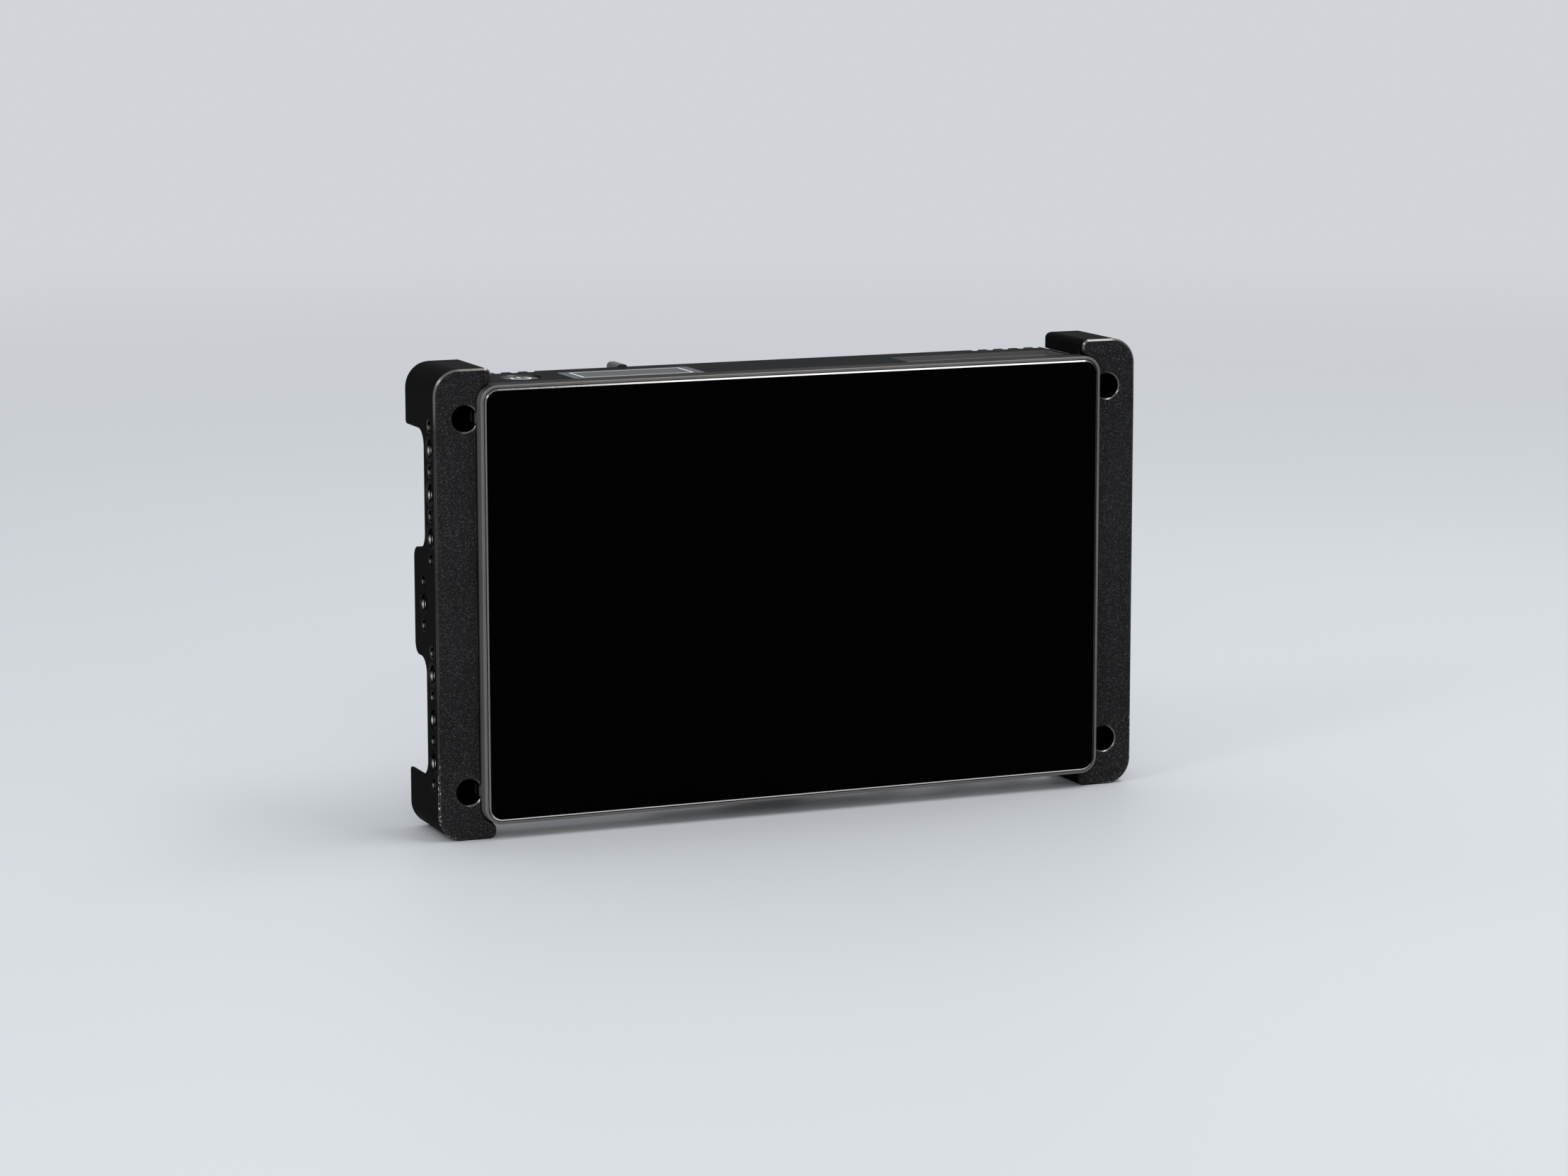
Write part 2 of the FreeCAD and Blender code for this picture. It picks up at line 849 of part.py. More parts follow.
def ribbon_cable():
    """The flat cable from the panel's lower edge, through the carrier, to its plug on the board."""
    half = ribbon_width / 2
    low = ribbon_low()
    turn = ribbon_plug_front()
    flat = block(hdmi_x - half, hdmi_x + half, lcd_front, turn, low, low + ribbon_thickness)
    rise = block(hdmi_x - half, hdmi_x + half, turn - ribbon_thickness, turn, low, low + ribbon_rise)
    return join([flat, rise])


def thermal_pad():
    half = chip_side / 2
    z = chip_middle()
    return block(chip_x - half, chip_x + half, chip_back, sink_front, z - half, z + half)


def heat_sink():
    half = sink_width / 2
    low = chip_middle() - sink_height / 2
    high = chip_middle() + sink_height / 2
    base = block(chip_x - half, chip_x + half, sink_front, sink_front + sink_base, low, high)
    pitch = (sink_width - sink_fin) / (sink_fin_count - 1)
    root = sink_front + sink_base / 2
    fins = []
    for index in range(sink_fin_count):
        left = chip_x - half + pitch * index
        fins.append(block(left, left + sink_fin, root, sink_front + sink_depth, low, high))
    return join([base] + fins)


def fan_front():
    return carrier_back + fan_lift


def fan_z():
    return inner_top - fan_top_drop


def fan_corner_places():
    half = fan_screw_pitch / 2
    return [(fan_x + i * half, fan_z() + j * half) for i in (-1, 1) for j in (-1, 1)]


def fan_posts():
    solids = []
    for x, z in fan_corner_places():
        post = rod_y(fan_post_radius, carrier_back, fan_front(), x, z)
        bore = rod_y(fan_screw_radius + thread_gap, fan_front() + fan_depth - fan_screw_length - easy_gap,
                     fan_front() + overrun, x, z)
        solids.append(post.cut(bore))
    return group(solids)


def fan_frame():
    half = fan_side / 2
    front = fan_front()
    back = front + fan_depth
    corners = box_corners(fan_x - half, fan_x + half, fan_z() - half, fan_z() + half, fan_post_radius)
    body = front_plate(corners, front, back)
    bore = rod_y(fan_bore, front - overrun, back + overrun, fan_x, fan_z())
    plate = rod_y(fan_hub_radius, front, front + fan_plate, fan_x, fan_z())
    reach = fan_bore + fan_spoke / 2
    spokes = [block(fan_x - reach, fan_x + reach, front, front + fan_plate,
                    fan_z() - fan_spoke / 2, fan_z() + fan_spoke / 2),
              block(fan_x - fan_spoke / 2, fan_x + fan_spoke / 2, front, front + fan_plate,
                    fan_z() - reach, fan_z() + reach)]
    holes = [rod_y(fan_screw_radius + screw_gap, front - overrun, back + overrun, x, z)
             for x, z in fan_corner_places()]
    seat = rod_y(fan_bush_radius + thread_gap, front - overrun, back, fan_x, fan_z())
    return cut_all(join([body.cut(bore), plate] + spokes), holes + [seat])


def fan_bush():
    return ring_post(fan_bush_radius, fan_shaft_radius + running_gap, fan_front(),
                     fan_front() + fan_bush_length, fan_x, fan_z())


def fan_hub_front():
    return fan_front() + fan_plate + fan_hub_clear


def fan_rotor():
    front = fan_hub_front()
    back = front + fan_hub_height
    hub = rod_y(fan_hub_radius, front, back, fan_x, fan_z())
    length = fan_bore - blade_tip_gap - fan_hub_radius + blade_thickness
    blades = []
    for index in range(blade_count):
        blade = Part.makeBox(length, blade_chord, blade_thickness,
                             Vector(fan_hub_radius - blade_thickness, -blade_chord / 2, -blade_thickness / 2))
        blade.rotate(Vector(0, 0, 0), Vector(1, 0, 0), blade_tilt)
        blade.rotate(Vector(0, 0, 0), Vector(0, 1, 0), 360 * index / blade_count)
        blade.translate(at(fan_x, (front + back) / 2, fan_z()))
        blades.append(blade)
    room_back = fan_front() + fan_bush_length + fan_hub_clear
    room = rod_y(fan_bush_radius + fan_hub_clear, front - overrun, room_back, fan_x, fan_z())
    seat = rod_y(fan_shaft_radius + thread_gap, front - overrun, fan_shaft_back(), fan_x, fan_z())
    return cut_all(join([hub] + blades), [room, seat])


def fan_shaft_back():
    return fan_hub_front() + fan_hub_height - fan_plate


def fan_shaft():
    return rod_y(fan_shaft_radius, fan_front() + easy_gap, fan_shaft_back(), fan_x, fan_z())


def fan_screws():
    seat = fan_front() + fan_depth
    return group([screw(fan_screw_radius, fan_screw_length, at(x, seat, z), Vector(0, -1, 0))
                  for x, z in fan_corner_places()])


# Power button


def power_button():
    top = housing_top - button_recess
    flange_top = inner_top - button_gap
    flange_low = flange_top - button_flange
    cap = rod_z(button_radius, flange_low, top, button_x, button_depth)
    cap = cap.makeFillet(button_edge, edges_at_height(cap, top))
    flange = rod_z(button_flange_radius, flange_low, flange_top, button_x, button_depth)
    stem = rod_z(button_stem_radius, flange_low - button_stem, flange_top, button_x, button_depth)
    return join([cap, flange, stem])


def button_board():
    half = button_board_width / 2
    deep = button_board_length / 2
    low = shelf_top()
    return block(button_x - half, button_x + half, button_depth - deep, button_depth + deep,
                 low, low + button_board_thickness)


def power_switch():
    half = switch_side / 2
    low = shelf_top() + button_board_thickness
    high = low + switch_height
    body = block(button_x - half, button_x + half, button_depth - half, button_depth + half, low, high)
    plunger = rod_z(button_stem_radius, low, high + switch_plunger, button_x, button_depth)
    return join([body, plunger])


# Sockets that point down


def sdi_end():
    return ceiling - sdi_length


def sdi_socket(x):
    end = sdi_end()
    barrel = rod_z(sdi_radius, end, ceiling, x, socket_depth)
    tail = rod_z(sdi_thread_radius, ceiling - sdi_lug, inner_floor + socket_tail, x, socket_depth)
    reach = sdi_radius + sdi_lug
    lugs = rod_x(sdi_lug_radius, x - reach, x + reach, socket_depth, end + sdi_lug_rise)
    bore = rod_z(sdi_bore, end - overrun, end + sdi_bore_length, x, socket_depth)
    return join([barrel, tail, lugs]).cut(bore)


def sdi_insulators():
    top = sdi_end() + sdi_bore_length
    low = top - sdi_core_length
    solids = []
    for x in (sdi_in_x, sdi_out_x):
        core = rod_z(sdi_core_radius, low, top, x, socket_depth)
        bore = rod_z(sdi_contact_radius + thread_gap, low - overrun, top + overrun, x, socket_depth)
        solids.append(core.cut(bore))
    return group(solids)


def sdi_contacts():
    top = sdi_end() + sdi_bore_length
    solids = []
    for x in (sdi_in_x, sdi_out_x):
        pin = rod_z(sdi_contact_radius, top - sdi_core_length + sdi_contact_rise, top, x, socket_depth)
        bore = rod_z(sdi_contact_radius / 2, top - sdi_core_length, top - sdi_contact_rise, x, socket_depth)
        solids.append(pin.cut(bore))
    return group(solids)


def power_inlet():
    end = ceiling - inlet_length
    barrel = rod_z(inlet_radius, end, ceiling, inlet_x, socket_depth)
    tail = rod_z(inlet_thread_radius, ceiling - sdi_lug, inner_floor + socket_tail, inlet_x, socket_depth)
    bore = rod_z(inlet_bore, end - overrun, end + inlet_bore_length, inlet_x, socket_depth)
    return join([barrel, tail]).cut(bore)


def inlet_pins():
    top = ceiling - inlet_length + inlet_bore_length
    half = inlet_pin_pitch / 2
    return group([rod_z(inlet_pin_radius, top - inlet_pin_length, top, inlet_x + sign * half, socket_depth)
                  for sign in (-1, 1)])


def socket_nuts():
    nuts = []
    top = inner_floor + nut_height
    for x, radius in socket_places():
        face = hexagon(at(x, socket_depth, inner_floor), Vector(1, 0, 0), Vector(0, 1, 0), radius + nut_flat)
        bore = rod_z(radius + thread_gap, inner_floor - overrun, top + overrun, x, socket_depth)
        nuts.append(face.extrude(Vector(0, 0, nut_height)).cut(bore))
    return group(nuts)


def hdmi_corners(inset):
    """The shell's outline from below, with its two bevelled corners at the back."""
    left = hdmi_x - hdmi_width / 2 + inset
    right = hdmi_x + hdmi_width / 2 - inset
    front = board_back + inset
    back = board_back + hdmi_thickness - inset
    waist = back - hdmi_bevel
    return [(left, front, 0), (right, front, 0), (right, waist, 0), (right - hdmi_bevel, back, 0),
            (left + hdmi_bevel, back, 0), (left, waist, 0)]


def hdmi_socket():
    low = housing_bottom + easy_gap
    shell = top_plate(hdmi_corners(0), low, low + hdmi_length)
    return shell.cut(top_plate(hdmi_corners(hdmi_wall), low - overrun, low + hdmi_length - hdmi_wall))


def hdmi_tongue():
    low = housing_bottom + easy_gap + hdmi_tongue_recess
    high = housing_bottom + easy_gap + hdmi_length - hdmi_wall
    centre = board_back + hdmi_thickness / 2
    half = hdmi_tongue_width / 2
    thick = hdmi_tongue_thickness / 2
    return block(hdmi_x - half, hdmi_x + half, centre - thick, centre + thick, low, high)


def tripod_insert():
    foot = housing_bottom - boss_drop
    body = rod_z(tripod_insert_radius, foot, foot + tripod_insert_length, 0, tripod_depth)
    bore = rod_z(tripod_bore, foot - overrun, foot + tripod_insert_length + overrun, 0, tripod_depth)
    return body.cut(bore).cut(mouth(tripod_bore, tripod_mouth, at(0, tripod_depth, foot), Vector(0, 0, 1)))


# Battery plate and its release


def plate_middle():
    return (plate_top + plate_bottom) / 2


def plate_screw_places():
    return [(i * plate_screw_x, plate_middle() + j * plate_screw_z) for i in (-1, 1) for j in (-1, 1)]


def release_left():
    return release_x - release_width / 2


def release_right():
    return release_x + release_width / 2


def guide_floor():
    return plate_bottom + release_guide_rise


def nose_low():
    return release_top - release_length + nose_rise


def rail(low, sign):
    """One battery rail: a wall along X with a lip that turns inwards."""
    left = release_right() + slide_gap + release_inner_rib + easy_gap
    right = plate_right - contact_block_length / 2
    wall_edges = sorted((low, low + sign * rail_wall))
    lip_edges = sorted((low, low + sign * (rail_wall + rail_lip)))
    wall = block(left, right, plate_back, rail_back, wall_edges[0], wall_edges[1])
    lip = block(left, right, rail_back - rail_lip_thickness, rail_back, lip_edges[0], lip_edges[1])
    return [wall, lip]


def release_guide():
    """Two ribs and a floor on the plate that the release bar slides in."""
    floor = guide_floor()
    high = floor + release_guide_length
    outer = release_left() - slide_gap
    inner = release_right() + slide_gap
    ribs = [block(plate_left, outer, plate_back, rail_back, floor - release_floor, high),
            block(inner, inner + release_inner_rib, plate_back, rail_back, floor - release_floor, high),
            block(plate_left, inner + release_inner_rib, plate_back, rail_back, floor - release_floor, floor)]
    return ribs


def keeper_screw_places():
    floor = guide_floor()
    inset = head_radius(keeper_screw_radius) + easy_gap
    x = (plate_left + release_left() - slide_gap) / 2
    return [(x, floor + inset), (x, floor + release_guide_length - inset)]


def battery_plate():
    base = front_plate(box_corners(plate_left, plate_right, plate_bottom, plate_top, plate_corner),
                       cover_back, plate_back)
    body = join([base] + rail(plate_bottom, 1) + rail(plate_top, -1) + release_guide())
    cutters = [block(release_left() - slide_gap, release_right() + slide_gap, cover_back - overrun,
                     plate_back + overrun, release_top - release_tab_height - release_travel - easy_gap,
                     plate_top + overrun)]
    low = nose_low() - release_travel - easy_gap
    cutters.append(block(release_right(), release_right() + release_inner_rib + overrun, plate_back,
                         rail_back + overrun, low, nose_low() + nose_height + easy_gap))
    plain = plate_screw_radius + screw_gap
    head = head_radius(plate_screw_radius) + screw_gap
    for x, z in plate_screw_places():
        cutters.append(rod_y(plain, cover_back - overrun, plate_back + overrun, x, z))
        cutters.append(rod_y(head, plate_back - plate_head_sink, plate_back + overrun, x, z))
    tapped = keeper_screw_radius + thread_gap
    tip = keeper_back - keeper_screw_length - easy_gap
    for x, z in keeper_screw_places():
        cutters.append(rod_y(tapped, tip, rail_back + overrun, x, z))
    return cut_all(body, cutters)


def plate_screws():
    return group([screw(plate_screw_radius, plate_screw_length, at(x, plate_back - plate_head_sink, z),
                        Vector(0, -1, 0)) for x, z in plate_screw_places()])


def contact_left():
    return plate_right - contact_block_length


def contact_block():
    low = plate_middle() - contact_block_width / 2
    back = plate_back + contact_block_height
    return block(contact_left(), plate_right, plate_back, back, low, low + contact_block_width)


def battery_contacts():
    first = plate_middle() - contact_pitch * (contact_count - 1) / 2
    low = plate_back + (contact_block_height - contact_height) / 2
    blades = []
    for index in range(contact_count):
        z = first + contact_pitch * index
        blades.append(block(contact_left() - contact_length, contact_left(), low, low + contact_height,
                            z - contact_thickness / 2, z + contact_thickness / 2))
    return group(blades)


def battery_release():
    """The sprung bar, its thumb tab over the plate's top edge and its locking nose."""
    left = release_left()
    right = release_right()
    bottom = release_top - release_length
    front = plate_back + easy_gap
    back = rail_back - easy_gap
    bar = block(left, right, front, back, bottom, release_top - release_tab_height / 2)
    tab_low = release_top - release_tab_height
    tab_front = cover_back + easy_gap
    corners = [(left, tab_low, 0), (right, tab_low, 0),
               (right, release_top, release_tab_round), (left, release_top, release_tab_round)]
    tab = front_plate(corners, tab_front, tab_front + release_tab_depth)
    low = nose_low()
    nose = block(right - release_tab_round, right + nose_width, front, back, low, low + nose_height)
    return join([bar, tab, nose])


def release_spring():
    """A coil between the guide's floor and the bar, wound from half turns."""
    low = guide_floor() + spring_wire + thread_gap
    high = release_top - release_length - spring_wire - thread_gap
    depth = (plate_back + rail_back) / 2
    rise = (high - low) / (2 * spring_turns)

    def point(half_turns):
        angle = math.pi * half_turns
        return at(release_x + spring_radius * math.cos(angle), depth + spring_radius * math.sin(angle),
                  low + rise * half_turns)

    arcs = [Part.Arc(point(i), point(i + 1 / 2), point(i + 1)).toShape() for i in range(2 * spring_turns)]
    path = Part.Wire(arcs)
    heading = arcs[0].tangentAt(arcs[0].FirstParameter)
    section = Part.Wire(Part.makeCircle(spring_wire, point(0), heading))
    coil = path.makePipeShell([section], True, False)
    spots = [point(step / 4) for step in range(8 * spring_turns + 1)]
    apart = [(spots[i] - spots[j]).Length for i in range(len(spots)) for j in range(i + 4, len(spots))]
    print("release spring, least gap to itself", round(min(apart) - 2 * spring_wire, 2))
    return coil


def release_keeper():
    floor = guide_floor()
    right = release_right() + slide_gap + release_inner_rib
    plate = block(plate_left, right, rail_back, keeper_back, floor, floor + release_guide_length)
    holes = [rod_y(keeper_screw_radius + screw_gap, rail_back - overrun, keeper_back + overrun, x, z)
             for x, z in keeper_screw_places()]
    return cut_all(plate, holes)


def keeper_screws():
    return group([screw(keeper_screw_radius, keeper_screw_length, at(x, keeper_back, z), Vector(0, -1, 0))
                  for x, z in keeper_screw_places()])


# Side brackets


def bracket_profile(inset):
    """A bracket seen from the side: deep at both ends and at the middle tab, slim between them."""
    front = bracket_front
    slim = bracket_bar_back - inset
    deep = bracket_front + bracket_end_depth - inset
    tab = bracket_front + bracket_tab_depth - inset
    end = bracket_end_height - inset
    half = bracket_tab_height / 2 - inset
    lower = [(front, 0, 0), (deep, 0, bracket_end_round),
             (deep, end, bracket_end_round), (slim, end, bracket_fillet),
             (slim, middle - half, bracket_fillet), (tab, middle - half, bracket_tab_round)]
    upper = [(depth, bracket_height - z, radius) for depth, z, radius in reversed(lower)]
    return lower + upper


def ear_rooms():
    """Hollows in the right bracket's deep ends, open to the back and to the notches beside them."""
    x0 = housing_side - overrun
    x1 = bracket_outer - ear_wall
    top = bracket_end_height + bracket_fillet
    low = housing_bottom - bracket_grip_gap
    room = [(x0, low, 0), (x1, low, bracket_corner - ear_wall), (x1, top, 0), (x0, top, 0)]
    rim = [(x1 - overrun, bracket_end_height - ear_rim_edge - overrun, 0),
           (x1 + ear_rim_edge + overrun, bracket_end_height + overrun, 0),
           (x1 - overrun, bracket_end_height + overrun, 0)]
    solids = []
    for outline in (room, rim):
        flipped = [(x, bracket_height - z, radius) for x, z, radius in reversed(outline)]
        for corners in (outline, flipped):
            solids.append(front_plate(corners, bracket_bar_back + ear_lead,
                                      bracket_front + bracket_end_depth + overrun))
    return solids


def rail_holes():
    """Depth, height and whether it is threaded, for every hole in a bracket's outer face."""
    holes = []
    count = int((middle - rail_hole_end - rail_hole_first) / hole_pitch) + 1
    for sign in (-1, 1):
        for index in range(count):
            z = middle + sign * (rail_hole_first + hole_pitch * index)
            holes.append((bracket_front + rail_hole_depth, z, index % 2 == 1))
    for step in (-1, 0, 1):
        holes.append((bracket_front + tab_hole_depth, middle + hole_pitch * step, step == 0))
    return holes


def corner_hole_places():
    x = bracket_inner + corner_hole_side
    return [(x, middle + sign * (middle - corner_hole_inset)) for sign in (-1, 1)]


def inner_tip_edges(bar):
    """The two edges along the depth where a bracket's short walls end beside the frame."""
    inset = bracket_tip_round + thread_gap
    edges = []
    for edge in bar.Edges:
        box = edge.BoundBox
        at_tip = box.XMax < bracket_tip + thread_gap
        if at_tip and box.ZLength < thread_gap and inset < box.ZMin < bracket_height - inset:
            edges.append(edge)
    return edges


def bracket_outline():
    """The right bracket from the front, before the room for the frame and housing is cut."""
    return [(bracket_tip, 0, bracket_tip_round), (bracket_outer, 0, bracket_corner),
            (bracket_outer, bracket_height, bracket_corner), (bracket_tip, bracket_height, bracket_tip_round)]


def housing_grip(back):
    """The right bracket behind the front frame, where it comes close to the housing's corners."""
    room = slab(2 * (housing_side + bracket_grip_gap), housing_height + 2 * bracket_grip_gap,
                housing_corner + bracket_grip_gap, 0, back + overrun)
    end = liner_end_margin - bracket_grip_gap
    liner_room = block(bracket_tip - overrun, bracket_inner, 0, back + overrun, end, bracket_height - end)
    return cut_all(front_plate(bracket_outline(), frame_back + easy_gap, back), [room, liner_room])


def right_bracket():
    back = bracket_front + bracket_end_depth
    room_height = bracket_height - 2 * bracket_wall
    room = slab(2 * bracket_inner, room_height, frame_corner + bracket_gap, 0, back + overrun)
    bar = front_plate(bracket_outline(), bracket_front, back).cut(room)
    bar = bar.makeFillet(bracket_tip_round, inner_tip_edges(bar))
    bar = join([bar, housing_grip(back)])
    bar = bar.common(side_plate(bracket_profile(0), bracket_tip - overrun, bracket_outer + overrun))
    bar = bar.makeChamfer(bracket_edge, edges_at_depth(bar, bracket_front))
    cutters = []
    for depth, z, threaded in rail_holes():
        radius = thread_radius if threaded else pin_hole_radius
        length = thread_length if threaded else pin_hole_length
        edge = thread_mouth if threaded else pin_hole_mouth
        cutters.append(rod_x(radius, bracket_outer - length, bracket_outer + overrun, depth, z))
        cutters.append(mouth(radius, edge, at(bracket_outer, depth, z), Vector(-1, 0, 0)))
    floor = bracket_front + corner_hole_length
    for x, z in corner_hole_places():
        cutters.append(rod_y(corner_hole_radius, bracket_front - overrun, floor, x, z))
        cutters.append(mouth(corner_hole_radius, corner_hole_mouth, at(x, bracket_front, z), Vector(0, 1, 0)))
    tip = bracket_inner + bracket_screw_grip + easy_gap
    cutters += bracket_screw_holes(bracket_screw_radius + thread_gap, bracket_inner - overrun, tip)
    return cut_all(bar, cutters + ear_rooms())


def bracket_liners():
    """Thin rubber liners between the housing's sides and the brackets."""
    plate = side_plate(bracket_profile(liner_margin), housing_side, bracket_inner)
    front = bracket_front + corner_hole_length + easy_gap
    window = block(housing_side - overrun, bracket_inner + overrun, front, bracket_front + bracket_end_depth,
                   liner_end_margin, bracket_height - liner_end_margin)
    cutters = bracket_screw_holes(bracket_screw_radius + screw_gap, housing_side - overrun,
                                  bracket_inner + overrun)
    liner = cut_all(plate.common(window), cutters + ear_rooms())
    return group([liner, mirrored(liner)])


def bracket_screws():
    length = bracket_inner + bracket_screw_grip - inner_side
    right = [screw(bracket_screw_radius, length, at(inner_side, depth, z), Vector(1, 0, 0))
             for depth, z in bracket_screw_places()]
    return group(right + [mirrored(one) for one in right])


def all_pieces():
    right = right_bracket()
    return {
        "cover_glass": cover_glass(),
        "glass_gasket": glass_gasket(),
        "bonding_sheet": bonding_sheet(),
        "front_frame": front_frame(),
        "lcd_panel": lcd_panel(),
        "backlight_unit": backlight_unit(),
        "panel_cushion": panel_cushion(),
        "panel_carrier": panel_carrier(),
        "carrier_screws": carrier_screws(),
        "board_standoffs": board_standoffs(),
        "main_board": main_board(),
        "board_chips": board_chips(),
        "board_screws": board_screws(),
        "ribbon_cable": ribbon_cable(),
        "thermal_pad": thermal_pad(),
        "heat_sink": heat_sink(),
        "fan_posts": fan_posts(),
        "fan_frame": fan_frame(),
        "fan_bush": fan_bush(),
        "fan_rotor": fan_rotor(),
        "fan_shaft": fan_shaft(),
        "fan_screws": fan_screws(),
        "main_housing": main_housing(),
        "rear_cover": rear_cover(),
        "cover_screws": cover_screws(),
        "power_button": power_button(),
        "button_board": button_board(),
        "power_switch": power_switch(),
        "sdi_in_socket": sdi_socket(sdi_in_x),
        "sdi_out_socket": sdi_socket(sdi_out_x),
        "sdi_insulators": sdi_insulators(),
        "sdi_contacts": sdi_contacts(),
        "power_inlet": power_inlet(),
        "inlet_pins": inlet_pins(),
        "socket_nuts": socket_nuts(),
        "hdmi_socket": hdmi_socket(),
        "hdmi_tongue": hdmi_tongue(),
        "tripod_insert": tripod_insert(),
        "battery_plate": battery_plate(),
        "plate_screws": plate_screws(),
        "contact_block": contact_block(),
        "battery_contacts": battery_contacts(),
        "battery_release": battery_release(),
        "release_spring": release_spring(),
        "release_keeper": release_keeper(),
        "keeper_screws": keeper_screws(),
        "left_bracket": mirrored(right),
        "right_bracket": right,
        "bracket_liners": bracket_liners(),
        "bracket_screws": bracket_screws(),
    }


os.makedirs("parts", exist_ok=True)
for name, shape in all_pieces().items():
    shape.exportStep("parts/" + name + ".step")
    print(name, len(shape.Solids), "solids", "valid" if shape.isValid() else "NOT VALID", shape.BoundBox)
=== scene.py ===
# %% [markdown]
# # A camera field monitor
# The monitor is a flat black screen between two machined side brackets.
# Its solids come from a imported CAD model, in metres: +X is the viewer's right, +Y runs from
# the screen to the back, and +Z is up. This lesson dresses that model: it sets the camera
# and the light, gives every finish a procedural material, and adds the small surfaces that
# the solids leave out, such as screw threads and the print on the top.

# %% Load the frame
import json
import math

import bpy
import numpy as np
from mathutils import Matrix, Vector


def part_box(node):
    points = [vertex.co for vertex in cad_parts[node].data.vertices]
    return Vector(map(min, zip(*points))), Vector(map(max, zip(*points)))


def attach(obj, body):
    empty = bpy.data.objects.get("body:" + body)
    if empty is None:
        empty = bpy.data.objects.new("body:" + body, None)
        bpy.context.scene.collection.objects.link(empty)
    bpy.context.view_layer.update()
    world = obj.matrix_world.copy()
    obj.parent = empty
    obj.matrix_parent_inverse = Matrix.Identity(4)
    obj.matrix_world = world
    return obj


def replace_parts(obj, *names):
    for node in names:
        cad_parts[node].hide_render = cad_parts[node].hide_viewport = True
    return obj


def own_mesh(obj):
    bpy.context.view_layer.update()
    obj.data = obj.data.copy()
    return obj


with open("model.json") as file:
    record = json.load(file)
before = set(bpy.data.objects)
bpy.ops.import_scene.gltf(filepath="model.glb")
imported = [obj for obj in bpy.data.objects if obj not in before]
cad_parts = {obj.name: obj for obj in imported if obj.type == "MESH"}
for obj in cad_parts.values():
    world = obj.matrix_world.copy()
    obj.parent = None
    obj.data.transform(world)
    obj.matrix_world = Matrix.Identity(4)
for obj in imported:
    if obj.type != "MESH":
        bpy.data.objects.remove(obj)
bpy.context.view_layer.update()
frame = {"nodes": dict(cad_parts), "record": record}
nodes = frame["nodes"]
mounts = {mount["name"]: mount for mount in frame["record"]["mounts"]}
scene = bpy.context.scene
MM = 0.001

# %% [markdown]
# ## Camera
# The photograph was taken from the left and a little above, with a long lens. A long lens
# keeps the upright edges almost parallel. The camera is placed by its angles and distance
# from a point on the glass, because those are the numbers that a photographer would note.

# %% Camera
CAMERA_AZIMUTH = math.radians(-22.633)
CAMERA_ELEVATION = math.radians(9.365)
CAMERA_ROLL = math.radians(-0.067)
CAMERA_DISTANCE = 1.11895
CAMERA_LENS, SENSOR_WIDTH = 102.163, 36.0  # in millimetres, as Blender has them
glass_low, glass_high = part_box("cover_glass")
AIM = Vector((-4.4 * MM, glass_low.y, 58.395 * MM))


def place_camera():
    """Stand back from the aim point along the azimuth and elevation, then look at it."""
    level = math.cos(CAMERA_ELEVATION)
    back = Vector((math.sin(CAMERA_AZIMUTH) * level, -math.cos(CAMERA_AZIMUTH) * level,
                   math.sin(CAMERA_ELEVATION)))
    data = bpy.data.cameras.new("photo_camera")
    data.lens = CAMERA_LENS
    data.sensor_width = SENSOR_WIDTH
    camera = bpy.data.objects.new("photo_camera", data)
    scene.collection.objects.link(camera)
    turn = (-back).to_track_quat("-Z", "Y").to_matrix().to_4x4()
    camera.matrix_world = (Matrix.Translation(AIM + back * CAMERA_DISTANCE) @ turn
                           @ Matrix.Rotation(CAMERA_ROLL, 4, "Z"))
    scene.camera = camera
    return camera


camera = place_camera()
print("camera at", [round(v, 3) for v in camera.location])

# %% [markdown]
# ## Surfaces from arrays
# Every new piece is a surface on a grid of points: one direction runs round or along the
# piece and the other runs across it. The points are worked out as whole arrays, and this
# helper only joins each point to its neighbours.

# %% Grid helper


def grid_faces(rows, columns, wrap_rows=False, wrap_columns=False):
    """Corner numbers of the quads between neighbouring rows and columns of a point grid. A quad
    goes to the next column first and then to the next row, which decides its outer side."""
    row = np.arange(rows if wrap_rows else rows - 1)[:, None]
    column = np.arange(columns if wrap_columns else columns - 1)[None, :]
    next_row = (row + 1) % rows
    next_column = (column + 1) % columns
    corners = (row * columns + column, row * columns + next_column,
               next_row * columns + next_column, next_row * columns + column)
    return np.stack(np.broadcast_arrays(*corners), axis=-1).reshape(-1, 4)


def mesh_piece(name, points, faces, material, smooth=True):
    """A mesh object at the origin from an array of points and the corner numbers of its faces."""
    mesh = bpy.data.meshes.new(name)
    mesh.from_pydata(np.asarray(points, float).reshape(-1, 3).tolist(), [], list(faces))
    mesh.polygons.foreach_set("use_smooth", np.full(len(mesh.polygons), smooth))
    mesh.materials.append(material)
    mesh.update()
    piece = bpy.data.objects.new(name, mesh)
    scene.collection.objects.link(piece)
    return piece


def several_grids(grids, **wraps):
    """Points and faces of many equal grids: grids has the shape (count, rows, columns, 3)."""
    count, rows, columns = grids.shape[:3]
    one = grid_faces(rows, columns, **wraps)
    shift = np.arange(count)[:, None, None] * rows * columns
    return grids.reshape(-1, 3), (one[None] + shift).reshape(-1, 4)


# %% [markdown]
# ## Node helpers
# Every material is a graph of nodes. Each of these helpers adds a node or two and links them,
# so that a graph reads like a sum: a product, a mix of two colours, a smooth ramp or a noise.

# %% Helpers for node graphs
# A Mix node has sockets for every kind of data. These are its factor, colours and result.
MIX_COLOUR_INPUTS, MIX_COLOUR_OUTPUT = (0, 6, 7), 2
COLOUR, VALUE = "NodeSocketColor", "NodeSocketFloat"


